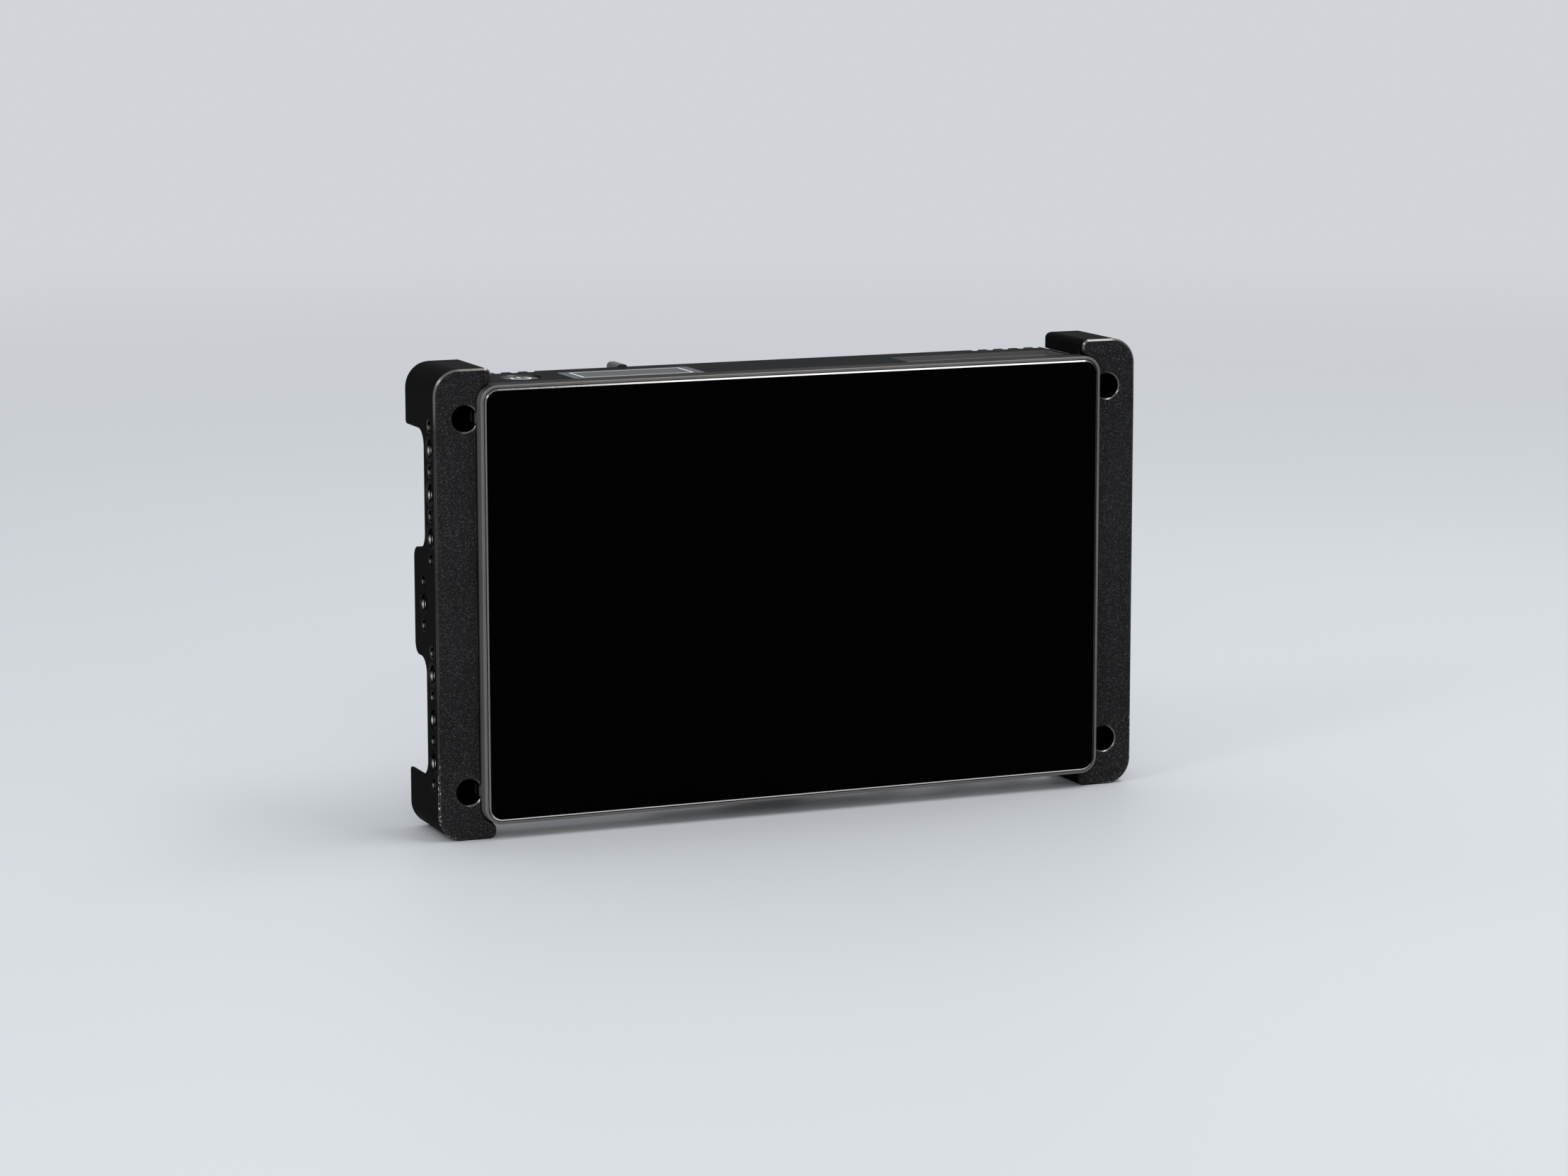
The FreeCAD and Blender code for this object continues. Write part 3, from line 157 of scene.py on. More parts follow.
def new_group(name, inputs, outputs):
    """An empty shader group with named sockets, and its input and output nodes."""
    tree = bpy.data.node_groups.new(name, "ShaderNodeTree")
    for label, kind, value in inputs:
        socket = tree.interface.new_socket(label, in_out="INPUT", socket_type=kind)
        socket.default_value = value
    for label, kind in outputs:
        tree.interface.new_socket(label, in_out="OUTPUT", socket_type=kind)
    return tree, tree.nodes.new("NodeGroupInput"), tree.nodes.new("NodeGroupOutput")


def feed(tree, socket, value):
    """Link an input to another node's output, or set it to a plain value."""
    if isinstance(value, bpy.types.NodeSocket):
        tree.links.new(value, socket)
    else:
        socket.default_value = value


def set_inputs(tree, node, **values):
    """Feed a node's inputs by their names, with _ for a space."""
    for key, value in values.items():
        feed(tree, node.inputs[key.replace("_", " ")], value)


def add_node(tree, kind, settings=None, **values):
    """A node with its properties from settings and its inputs from values."""
    node = tree.nodes.new(kind)
    for key, value in (settings or {}).items():
        setattr(node, key, value)
    set_inputs(tree, node, **values)
    return node


def math_node(tree, operation, first, *others):
    """Math nodes that take sockets or plain numbers together, from left to right."""
    for other in others:
        node = add_node(tree, "ShaderNodeMath", {"operation": operation})
        feed(tree, node.inputs[0], first)
        feed(tree, node.inputs[1], other)
        first = node.outputs[0]
    return first


def one_minus(tree, mask):
    """What a mask leaves."""
    return math_node(tree, "SUBTRACT", 1.0, mask)


def raised(tree, low, mask, rise):
    """The low value, higher by the rise where the mask is one."""
    return math_node(tree, "ADD", math_node(tree, "MULTIPLY", mask, rise), low)


def mix_colour(tree, share, first, second):
    """A colour Mix node whose share and colours are sockets or plain values."""
    node = add_node(tree, "ShaderNodeMix", {"data_type": "RGBA"})
    for slot, value in zip(MIX_COLOUR_INPUTS, (share, first, second)):
        feed(tree, node.inputs[slot], value)
    return node.outputs[MIX_COLOUR_OUTPUT]


def vector_node(tree, operation, *vectors):
    """The number that a Vector Math node gives for sockets or plain vectors."""
    node = add_node(tree, "ShaderNodeVectorMath", {"operation": operation})
    for socket, vector in zip(node.inputs, vectors):
        feed(tree, socket, vector)
    return node.outputs["Value"]


def ramp(tree, value, low, high):
    """Zero at low and beyond it, one at high and beyond it, and a smooth rise between them."""
    node = add_node(tree, "ShaderNodeMapRange", {"interpolation_type": "SMOOTHSTEP"},
                    Value=value, From_Min=low, From_Max=high)
    return node.outputs["Result"]


def noise(tree, place, scale, detail=2.0, roughness=0.5):
    """Noise between zero and one whose scale is a socket or a plain number."""
    node = add_node(tree, "ShaderNodeTexNoise", Vector=place, Scale=scale, Detail=detail,
                    Roughness=roughness)
    return node.outputs["Fac"]


def object_place(tree):
    """The place on a piece in metres: its Object coordinates."""
    return add_node(tree, "ShaderNodeTexCoord").outputs["Object"]


def split(tree, vector):
    """The components of a vector, to be taken by the letters X, Y and Z."""
    return add_node(tree, "ShaderNodeSeparateXYZ", Vector=vector).outputs


def face_direction(tree):
    """The components of the flat normal of the face."""
    return split(tree, add_node(tree, "ShaderNodeNewGeometry").outputs["True Normal"])


# %% [markdown]
# ## Polished edges
# Handling polishes the outer corners of metal first. A Bevel node gives the normal that a
# rounded corner would have, so an edge is near where that normal departs from the flat one.
# Painted edges would have to be drawn on every piece. On the dyed finishes these paler edges are
# also a painted highlight, the thin bright line that lamps draw along edges. Two kinds of finish
# use this, so it is a node group.

# %% Group: polished edge
EDGE_WIDTH = 0.4 * MM
EDGE_BEND = (0.008, 0.075)
EDGE_SAMPLES = 4


def edge_group():
    """How near a sharp outer edge is: where a rounded normal departs from the flat one."""
    tree, inside, outside = new_group("polished edge", [("Width", VALUE, EDGE_WIDTH)],
                                      [("Edge", VALUE)])
    bevel = add_node(tree, "ShaderNodeBevel", {"samples": EDGE_SAMPLES},
                     Radius=inside.outputs["Width"])
    flat = add_node(tree, "ShaderNodeNewGeometry")
    agree = vector_node(tree, "DOT_PRODUCT", bevel.outputs["Normal"], flat.outputs["Normal"])
    set_inputs(tree, outside, Edge=ramp(tree, one_minus(tree, agree), *EDGE_BEND))
    return tree


EDGE = edge_group()

# %% [markdown]
# ## Blasted finish
# Most of the monitor is blasted and dyed metal: a fine grain, scattered bright specks that are
# painted glints, slow clouds of lighter and darker dye, and pale edges that are wear and also a
# painted highlight. Faces that look to the side or up and down get painted shade. The grain
# could be a picture, but noise on Object coordinates needs no unwrapping and keeps its real
# scale on every piece. Because several finishes use it, it is a node group too.

# %% Effects of blasting and wear
CLOUD_SHARE = 0.5
SPECK_FINER, SPECK_PICK = 1.8, (0.86, 0.99)
WEAR_AND_HIGHLIGHT_BY_CLOUD, WEAR_AND_HIGHLIGHT_PATCHES = 0.7, (0.42, 0.6)
LEAN_FROM, LEAN_TO = (0.3, 0.5), (0.85, 0.97)


def uneven(tree, pattern):
    """A noise moved down, so that it swings about zero."""
    return math_node(tree, "SUBTRACT", pattern, 0.5)


def dye_level(tree, grain, cloud, grain_share):
    """About one: the grain darkens and lightens the dye, and the clouds do so more slowly."""
    swing = math_node(tree, "MULTIPLY", uneven(tree, grain), grain_share)
    slow = math_node(tree, "MULTIPLY", uneven(tree, cloud), CLOUD_SHARE)
    return math_node(tree, "ADD", swing, slow, 1.0)


def painted_shade(tree, level, mask, share):
    """Painted shade: the level, less this share of itself where the mask is one."""
    loss = math_node(tree, "MULTIPLY", mask, share)
    return math_node(tree, "MULTIPLY", level, one_minus(tree, loss))


def scattered_cells(tree, place, grain_scale):
    """A mask of a few cells, picked from a pattern that is finer than the grain."""
    finer = math_node(tree, "MULTIPLY", grain_scale, SPECK_FINER)
    cells = add_node(tree, "ShaderNodeTexVoronoi", Vector=place, Scale=finer)
    pick = add_node(tree, "ShaderNodeSeparateColor", Color=cells.outputs["Color"])
    return ramp(tree, pick.outputs["Red"], *SPECK_PICK)


def worn_and_highlit_edges(tree, edge, grain, cloud):
    """Worn, polished edges in patches, which also paint the thin highlight along edges: the slow
    clouds and the grain break the line up.
    """
    band = add_node(tree, "ShaderNodeGroup", {"node_tree": edge})
    broken = math_node(tree, "ADD", math_node(tree, "MULTIPLY", cloud, WEAR_AND_HIGHLIGHT_BY_CLOUD),
                       math_node(tree, "MULTIPLY", grain, 1.0 - WEAR_AND_HIGHLIGHT_BY_CLOUD))
    return math_node(tree, "MULTIPLY", band.outputs["Edge"], ramp(tree, broken, *WEAR_AND_HIGHLIGHT_PATCHES))


def leaning_faces(tree, forward):
    """A mask of the faces that look neither straight ahead nor to the side, as bevels do."""
    return math_node(tree, "MULTIPLY", ramp(tree, forward, *LEAN_FROM),
                     one_minus(tree, ramp(tree, forward, *LEAN_TO)))


# %% [markdown]
# ## The finish as a group
# The group lays the effects over each other: dye with painted shade first, then specks as painted
# glints, worn edges that are also a painted highlight, and cut bevels.
# It puts out what changes over the surface, and each material gives it its own values.

# %% Group: blasted finish
GRAIN_DETAIL, GRAIN_ROUGHNESS = 3.0, 0.65
CLOUD_SCALE, CLOUD_DETAIL = 45.0, 3.0
FACES_FORWARD, FACES_UP = (0.3, 0.9), (0.5, 0.9)
ROUGH_SWING, WEAR_AND_HIGHLIGHT_SMOOTH, CUT_SMOOTH = 0.22, 0.15, 0.2
SPECK_HEIGHT = 0.3
BLASTED_INPUTS = [
    ("Base", COLOUR, (0.02, 0.02, 0.02, 1)),
    ("Speck", COLOUR, (0.2, 0.2, 0.2, 1)),
    ("Wear And Highlight", COLOUR, (0.3, 0.3, 0.3, 1)),
    ("Grain Scale", VALUE, 2600.0),
    ("Grain Share", VALUE, 0.6),
    ("Speck Share", VALUE, 0.5),
    ("Worn Share", VALUE, 0.5),
    ("Chamfer", COLOUR, (0.1, 0.1, 0.1, 1)),
    ("Chamfer Share", VALUE, 0.0),
    ("Side Share", VALUE, 0.0),
    ("Up Share", VALUE, 0.0),
    ("Roughness", VALUE, 0.5)]
BLASTED_OUTPUTS = [("Colour", COLOUR), ("Roughness", VALUE), ("Metallic", VALUE), ("Height", VALUE)]


def blasted_group(edge):
    """Colour, roughness, bareness and height of blasted, dyed metal or fine moulded texture."""
    tree, inside, outside = new_group("blasted finish", BLASTED_INPUTS, BLASTED_OUTPUTS)
    given = inside.outputs
    place = object_place(tree)
    grain = noise(tree, place, given["Grain Scale"], GRAIN_DETAIL, GRAIN_ROUGHNESS)
    cloud = noise(tree, place, CLOUD_SCALE, CLOUD_DETAIL)
    # Painted shade: faces that look to the side, or up and down, can be darker than those that
    # look forward.
    facing = face_direction(tree)
    forward = math_node(tree, "ABSOLUTE", facing["Y"], 0.0)
    sideways = one_minus(tree, ramp(tree, forward, *FACES_FORWARD))
    upright = ramp(tree, math_node(tree, "ABSOLUTE", facing["Z"], 0.0), *FACES_UP)
    level = dye_level(tree, grain, cloud, given["Grain Share"])
    level = painted_shade(tree, level, sideways, given["Side Share"])
    level = painted_shade(tree, level, upright, given["Up Share"])
    shaded = add_node(tree, "ShaderNodeVectorMath", {"operation": "SCALE"}, Vector=given["Base"],
                      Scale=level)
    # Bright specks are painted glints of the blasted grain, kept only to where the face looks
    # forward.
    cells = scattered_cells(tree, place, given["Grain Scale"])
    speck_glint = math_node(tree, "MULTIPLY", cells, given["Speck Share"], one_minus(tree, sideways))
    colour = mix_colour(tree, speck_glint, shaded.outputs[0], given["Speck"])
    # The worn edges are wear and also a painted highlight along the edges.
    wear_and_highlight = math_node(tree, "MULTIPLY", worn_and_highlit_edges(tree, edge, grain, cloud), given["Worn Share"])
    colour = mix_colour(tree, wear_and_highlight, colour, given["Wear And Highlight"])
    # A cutter left the leaning edges brighter than the blasted faces: bare, smooth metal.
    cut = math_node(tree, "MULTIPLY", leaning_faces(tree, forward), given["Chamfer Share"])
    colour = mix_colour(tree, cut, colour, given["Chamfer"])
    rough = math_node(tree, "ADD", given["Roughness"],
                      math_node(tree, "MULTIPLY", uneven(tree, grain), ROUGH_SWING))
    smoother = math_node(tree, "ADD", math_node(tree, "MULTIPLY", wear_and_highlight, WEAR_AND_HIGHLIGHT_SMOOTH),
                         math_node(tree, "MULTIPLY", cut, CUT_SMOOTH))
    height = math_node(tree, "ADD", grain, math_node(tree, "MULTIPLY", cells, SPECK_HEIGHT))
    set_inputs(tree, outside, Colour=colour, Metallic=cut, Height=height,
               Roughness=math_node(tree, "SUBTRACT", rough, smoother))
    return tree


BLASTED = blasted_group(EDGE)
print("groups", EDGE.name, "and", BLASTED.name)

# %% [markdown]
# ## Blasted and moulded finishes
# The brackets, housing, frame and plastic pieces share the group and differ in their
# values. The brackets have the strongest grain and, of the black finishes, the most specks.
# The thin frame is a lighter, warmer grey, and the moulded plastic has hardly any specks.

# %% Materials from the group
BUMP_STRENGTH, GRAIN_DEPTH = 0.6, 0.03 * MM


def new_material(name):
    """A material with only its Principled shader and its output."""
    material = bpy.data.materials.new(name)
    material.use_nodes = True
    return material, material.node_tree, material.node_tree.nodes["Principled BSDF"]


def bump_into(tree, shader, height, depth):
    """Fine relief of this depth in metres, too small to be modelled."""
    bump = add_node(tree, "ShaderNodeBump", Strength=BUMP_STRENGTH, Distance=depth, Height=height)
    set_inputs(tree, shader, Normal=bump.outputs["Normal"])


def blasted(name, base, speck_glint, wear_and_highlight, specular, depth=GRAIN_DEPTH, metallic=0.0, chamfer=None,
            **values):
    """A dyed or moulded finish: the group gives colour, roughness and height. Only a finish
    with bare leaning edges is metallic in places, so only there the group gives that too."""
    material, tree, shader = new_material(name)
    finish = add_node(tree, "ShaderNodeGroup", {"node_tree": BLASTED}, **values)
    colours = {"Base": base, "Speck": speck_glint, "Wear And Highlight": wear_and_highlight, "Chamfer": chamfer or wear_and_highlight}
    for label, colour in colours.items():
        finish.inputs[label].default_value = (*colour, 1.0)
    given = finish.outputs
    set_inputs(tree, shader, Base_Color=given["Colour"], Roughness=given["Roughness"],
               Metallic=given["Metallic"] if chamfer else metallic, Specular_IOR_Level=specular)
    bump_into(tree, shader, given["Height"], depth)
    return material


# The Side and Up Shade shares paint shade on faces that look to the side or up and down; the worn
# colour is wear and also a painted highlight along the edges.
finishes = {
    "bracket_black": blasted(
        "bracket black", (0.0165, 0.0162, 0.017), (0.14, 0.138, 0.137), (0.16, 0.155, 0.15),
        specular=0.0015, chamfer=(0.17, 0.16, 0.15), Grain_Scale=3200.0, Grain_Share=2.2,
        Speck_Share=0.5, Worn_Share=0.4, Side_Share=0.65, Roughness=0.4),
    "housing_black": blasted(
        "housing black", (0.0145, 0.0148, 0.0165), (0.05, 0.05, 0.054), (0.10, 0.095, 0.09),
        specular=0.002, chamfer=(0.11, 0.108, 0.108), Grain_Scale=3000.0, Grain_Share=1.6,
        Speck_Share=0.25, Worn_Share=0.4, Chamfer_Share=0.5, Side_Share=0.25, Roughness=0.42),
    "frame_metal": blasted(
        "frame grey metal", (0.132, 0.124, 0.12), (0.16, 0.15, 0.145), (0.2, 0.19, 0.18),
        specular=0.003, depth=0.015 * MM, chamfer=(0.33, 0.31, 0.29), Grain_Scale=4800.0,
        Grain_Share=0.4, Speck_Share=0.2, Worn_Share=0.4, Chamfer_Share=0.3, Up_Share=0.75,
        Roughness=0.4),
    "plate_black": blasted(
        "moulded plate black", (0.017, 0.017, 0.018), (0.03, 0.03, 0.03), (0.05, 0.05, 0.052),
        specular=0.35, Grain_Scale=2800.0, Grain_Share=0.6, Speck_Share=0.15, Worn_Share=0.4,
        Roughness=0.52),
    "button_black": blasted(
        "moulded button black", (0.02, 0.02, 0.022), (0.035, 0.035, 0.036), (0.07, 0.07, 0.072),
        specular=0.4, Grain_Scale=3600.0, Grain_Share=0.45, Speck_Share=0.1, Worn_Share=0.6,
        Roughness=0.4),
    "rubber_black": blasted(
        "liner rubber", (0.012, 0.012, 0.012), (0.02, 0.02, 0.02), (0.03, 0.03, 0.03),
        specular=0.3, Grain_Scale=1500.0, Grain_Share=0.5, Speck_Share=0.1, Worn_Share=0.2,
        Roughness=0.72),
    "screw_steel": blasted(
        "black steel screw", (0.03, 0.03, 0.032), (0.05, 0.05, 0.05), (0.28, 0.28, 0.28),
        specular=0.5, Grain_Scale=2600.0, Grain_Share=0.6, Speck_Share=0.1, Worn_Share=0.8,
        Roughness=0.38, metallic=0.9),
    "chip_black": blasted(
        "chip package", (0.022, 0.022, 0.022), (0.05, 0.05, 0.05), (0.05, 0.05, 0.05),
        specular=0.4, Grain_Scale=2400.0, Grain_Share=0.6, Speck_Share=0.2, Worn_Share=0.2,
        Roughness=0.5),
    "panel_grey": blasted(
        "display module grey", (0.13, 0.13, 0.135), (0.2, 0.2, 0.2), (0.2, 0.2, 0.2),
        specular=0.4, Grain_Scale=1400.0, Grain_Share=0.3, Speck_Share=0.1, Worn_Share=0.2,
        Roughness=0.45),
    "white_plastic": blasted(
        "white insulator", (0.8, 0.8, 0.77), (0.9, 0.9, 0.88), (0.9, 0.9, 0.88),
        specular=0.4, Grain_Scale=1600.0, Grain_Share=0.12, Speck_Share=0.1, Worn_Share=0.2,
        Roughness=0.35),
    "board_green": blasted(
        "circuit board", (0.02, 0.11, 0.05), (0.25, 0.22, 0.1), (0.1, 0.16, 0.08),
        specular=0.5, Grain_Scale=900.0, Grain_Share=0.5, Speck_Share=0.6, Worn_Share=0.5,
        Roughness=0.32),
}
print("blasted finishes", len(finishes))

# %% [markdown]
# ## Bare edges, painted highlight and painted shade of the brackets
# Handling has rubbed the rims of the four front holes down to bare metal. The upper edges of the
# brackets are made bare metal too, as a painted highlight where the overhead lamp falls; lower
# down this share fades out. The other outer edges in front are only a little paler than the
# faces, with bright chips near the floor, and all further edges are as dark as the faces. The
# holes themselves are painted deep black, as painted shade. All of this depends only on the
# place, so masks on Object coordinates can tell it apart.

# %% Masks in the bracket's material
HIGHLIGHT_ABOVE = (100.0 * MM, 109.0 * MM)
BARE_FROM_SIDE = (85.2 * MM, 86.2 * MM)
BARE_FRONT = (1.6 * MM, 1.2 * MM)
CHIPS_BELOW = (26.0 * MM, 14.0 * MM)
CHIP_SCALE, CHIP_NOISE = 1700.0, (0.58, 0.68)
OUTER_SHARE, BARE_AND_HIGHLIGHT_SHARE = 0.12, 0.9
RIM_END = (0.6 * MM, 0.4 * MM)
SHADE_WALL_END = (0.1 * MM, 0.05 * MM)
SHADE_BEHIND = (0.3 * MM, 0.8 * MM)
HOLE_SHADE_BLACK = (0.0008, 0.0008, 0.0009, 1)
CHIP_PALE = (0.9, 0.88, 0.85, 1)
holes = mounts["front_corner_holes"]
hole_radius = holes["dims"]["hole_r_mm"] * MM


def hole_distance(tree, beside, rise):
    """How far a place lies from the axis of the nearest front hole. The four holes are the
    corners of a rectangle, so with distances from its middle one corner stands for all."""
    offset = add_node(tree, "ShaderNodeCombineXYZ")
    for axis, reach, spacing in (("X", beside, "spacing_x_mm"), ("Z", rise, "spacing_y_mm")):
        away = math_node(tree, "SUBTRACT", reach, holes["dims"][spacing] / 2 * MM)
        feed(tree, offset.inputs[axis], away)
    return vector_node(tree, "LENGTH", offset.outputs["Vector"])


def paint_over(tree, share, paint):
    """Mix a colour over what feeds the shader's Base Color, by a mask."""
    base = tree.nodes["Principled BSDF"].inputs["Base Color"]
    feed(tree, base, mix_colour(tree, share, base.links[0].from_socket, paint))


def bracket_masks(material):
    """The bare share is the largest of the holes' rims, a ramp on the height that paints a
    highlight on the upper edges, and the faint or chipped outer edges. Behind their rims the holes
    are painted black as shade."""
    tree = material.node_tree
    coordinates = object_place(tree)
    place = split(tree, coordinates)
    beside = math_node(tree, "ABSOLUTE", place["X"], 0.0)
    above = math_node(tree, "SUBTRACT", place["Z"], holes["pos_m"][2])
    behind = math_node(tree, "SUBTRACT", place["Y"], holes["pos_m"][1])
    distance = hole_distance(tree, beside, math_node(tree, "ABSOLUTE", above, 0.0))
    rim = ramp(tree, distance, *(hole_radius + reach for reach in RIM_END))
    specks = ramp(tree, noise(tree, coordinates, CHIP_SCALE), *CHIP_NOISE)
    chips = math_node(tree, "MULTIPLY", specks, ramp(tree, place["Z"], *CHIPS_BELOW))
    outer = math_node(tree, "MULTIPLY", ramp(tree, beside, *BARE_FROM_SIDE),
                      ramp(tree, behind, *BARE_FRONT),
                      math_node(tree, "MAXIMUM", chips, OUTER_SHARE))
    # The height ramp paints a highlight: the upper edges turn bare metal where the overhead lamp
    # falls.
    bare = math_node(tree, "MAXIMUM", rim, ramp(tree, place["Z"], *HIGHLIGHT_ABOVE), outer)
    group = next(node for node in tree.nodes if node.type == "GROUP")
    set_inputs(tree, group, Chamfer_Share=math_node(tree, "MULTIPLY", bare, BARE_AND_HIGHLIGHT_SHARE))
    # Painted shade: behind their rims the holes are painted near-black.
    wall = ramp(tree, distance, *(hole_radius + reach for reach in SHADE_WALL_END))
    deep = math_node(tree, "MULTIPLY", ramp(tree, behind, *SHADE_BEHIND), wall)
    paint_over(tree, deep, HOLE_SHADE_BLACK)
    chipped = math_node(tree, "MULTIPLY", chips, one_minus(tree, rim), group.outputs["Metallic"])
    paint_over(tree, chipped, CHIP_PALE)


bracket_masks(finishes["bracket_black"])
print("front holes", holes["dims"]["count"], "radius in mm", round(hole_radius / MM, 2))

# %% [markdown]
# ## Grey vent pocket
# The shallow pocket in the top is painted a lighter grey than the rest of the housing. A mask that
# is one inside a box does this without a second mesh: each side of the box is a short ramp on
# one Object coordinate, and the six ramps are multiplied.

# %% Grey pocket in the housing's material
POCKET_X = (33.9 * MM, 79.1 * MM)
POCKET_Y = (glass_low.y + 9.4 * MM, glass_low.y + 22.1 * MM)
POCKET_Z = (111.4 * MM, 112.7 * MM)
POCKET_FADE = 0.05 * MM
POCKET_GREY = (0.12, 0.116, 0.118, 1)


def grey_pocket(material):
    """Paint the grey where all six ramps of the pocket's box are one."""
    tree = material.node_tree
    place = split(tree, object_place(tree))
    inside = 1.0
    for axis, (low, high) in zip("XYZ", (POCKET_X, POCKET_Y, POCKET_Z)):
        for outer, full in ((low - POCKET_FADE, low), (high + POCKET_FADE, high)):
            inside = math_node(tree, "MULTIPLY", inside, ramp(tree, place[axis], outer, full))
    paint_over(tree, inside, POCKET_GREY)


grey_pocket(finishes["housing_black"])
print("pocket in mm", round((POCKET_X[1] - POCKET_X[0]) / MM, 1), "wide")

# %% [markdown]
# ## Plated and bare metals
# Sockets, contacts and sheet parts are bright. Turned and rolled metal carries fine lines,
# so a noise that is stretched along one direction varies the roughness and the height.

# %% Group: turned metal
LINE_STRETCH, LINE_DETAIL = (0.04, 0.04, 1.0), 2.0
STAIN_SCALE, STAIN_DETAIL, STAIN_ROUGHNESS = 160.0, 4.0, 0.6
STAIN_RANGE, STAIN_SHARE = (0.45, 0.8), 0.6
LINE_ROUGH, STAIN_ROUGH, EDGE_SHARE = 0.16, 0.2, 0.35
TURNED_INPUTS = [("Base", COLOUR, (0.6, 0.6, 0.6, 1)), ("Stain", COLOUR, (0.4, 0.4, 0.4, 1)),
                 ("Line Scale", VALUE, 3000.0), ("Roughness", VALUE, 0.25)]
TURNED_OUTPUTS = [("Colour", COLOUR), ("Roughness", VALUE), ("Height", VALUE)]


def turned_group(edge):
    """Fine parallel lines, a slow stain and polished edges, for bright metals."""
    tree, inside, outside = new_group("turned metal", TURNED_INPUTS, TURNED_OUTPUTS)
    given = inside.outputs
    place = object_place(tree)
    stretch = add_node(tree, "ShaderNodeMapping", Vector=place, Scale=LINE_STRETCH)
    lines = noise(tree, stretch.outputs["Vector"], given["Line Scale"], LINE_DETAIL)
    stain = noise(tree, place, STAIN_SCALE, STAIN_DETAIL, STAIN_ROUGHNESS)
    share = math_node(tree, "MULTIPLY", ramp(tree, stain, *STAIN_RANGE), STAIN_SHARE)
    colour = mix_colour(tree, share, given["Base"], given["Stain"])
    band = add_node(tree, "ShaderNodeGroup", {"node_tree": edge})
    polished = math_node(tree, "MULTIPLY", band.outputs["Edge"], EDGE_SHARE)
    colour = mix_colour(tree, polished, colour, given["Base"])
    swing = math_node(tree, "ADD", math_node(tree, "MULTIPLY", lines, LINE_ROUGH),
                      math_node(tree, "MULTIPLY", share, STAIN_ROUGH))
    set_inputs(tree, outside, Colour=colour, Height=lines,
               Roughness=math_node(tree, "ADD", given["Roughness"], swing))
    return tree


TURNED = turned_group(EDGE)
print("group", TURNED.name)

# %% [markdown]
# ## Metals from the group
# Nickel, gold, steel, rolled sheet and the near-black walls of the holes differ in their colours,
# in their gloss and in how close the lines lie. The walls of the holes are near-black to paint
# the shade in the holes.

# %% Materials from the turned metal
LINE_DEPTH = 0.006 * MM


def turned(name, base, stain, line_scale=3000.0, roughness=0.22):
    """A bright metal: the group gives its colour, roughness and lines."""
    material, tree, shader = new_material(name)
    finish = add_node(tree, "ShaderNodeGroup", {"node_tree": TURNED}, Base=(*base, 1.0),
                      Stain=(*stain, 1.0), Line_Scale=line_scale, Roughness=roughness)
    set_inputs(tree, shader, Base_Color=finish.outputs["Colour"],
               Roughness=finish.outputs["Roughness"], Metallic=1.0)
    bump_into(tree, shader, finish.outputs["Height"], LINE_DEPTH)
    return material


finishes.update({
    "nickel": turned("nickel plating", (0.6, 0.58, 0.54), (0.42, 0.39, 0.34)),
    "contact_gold": turned("gold plating", (0.83, 0.6, 0.25), (0.6, 0.4, 0.15), roughness=0.2),
    "spring_steel": turned("bright steel", (0.5, 0.5, 0.52), (0.33, 0.32, 0.31), roughness=0.25),
    # Near-black, to paint the shade in the holes.
    "bore_metal": turned("bore metal", (0.006, 0.0055, 0.0055), (0.003, 0.003, 0.003)),
    "sheet_metal": turned("rolled sheet", (0.6, 0.6, 0.61), (0.5, 0.5, 0.5), line_scale=1800.0,
                          roughness=0.34),
})
print("all finishes", len(finishes))

# %% [markdown]
# ## Screen glass
# The screen is off, so the glass is black, with a coating that holds reflections down. A
# faint smear varies its gloss. Its ground edge is a separate piece, made further down,
# because the coating doesn't reach it and it shines much more.

# %% Material: screen glass
SMEAR_SCALE, SMEAR_DETAIL, SMEAR_ROUGHNESS = 38.0, 4.0, 0.6
SCREEN_BLACK, SMEAR_BLACK = (0.0003, 0.0003, 0.0004, 1), (0.0006, 0.0006, 0.0008, 1)
SCREEN_ROUGH, SMEAR_ROUGH = 0.03, 0.06
COATED_SPECULAR = 0.008


def screen_glass():
    """Black coated glass: the smear lifts its colour and roughness a little."""
    material, tree, shader = new_material("screen glass")
    smear = noise(tree, object_place(tree), SMEAR_SCALE, SMEAR_DETAIL, SMEAR_ROUGHNESS)
    set_inputs(tree, shader, Base_Color=mix_colour(tree, smear, SCREEN_BLACK, SMEAR_BLACK),
               Roughness=raised(tree, SCREEN_ROUGH, smear, SMEAR_ROUGH),
               Specular_IOR_Level=COATED_SPECULAR)
    return material


finishes["screen_glass"] = screen_glass()

# %% [markdown]
# ## Dressing the solids
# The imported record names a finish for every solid. Each solid keeps its own mesh and gets
# the material of that name.

# %% Give every solid its finish
for part in frame["record"]["subparts"]:
    solid = nodes[part["node"]]
    solid.data.materials.clear()
    solid.data.materials.append(finishes[part["material_slot"]])

# %% [markdown]
# ## Ground edge of the glass
# The rim of the glass is ground to a narrow slope, which catches the lamps as a thin bright
# line round the screen. It could be painted on the glass, but a strip of its own takes its
# own gloss. The strip's section, a thin slanted bar, is carried round a rounded rectangle.
# The lower edge, which would mirror only the shadow below it, gets a painted highlight instead:
# a near-white matt colour.

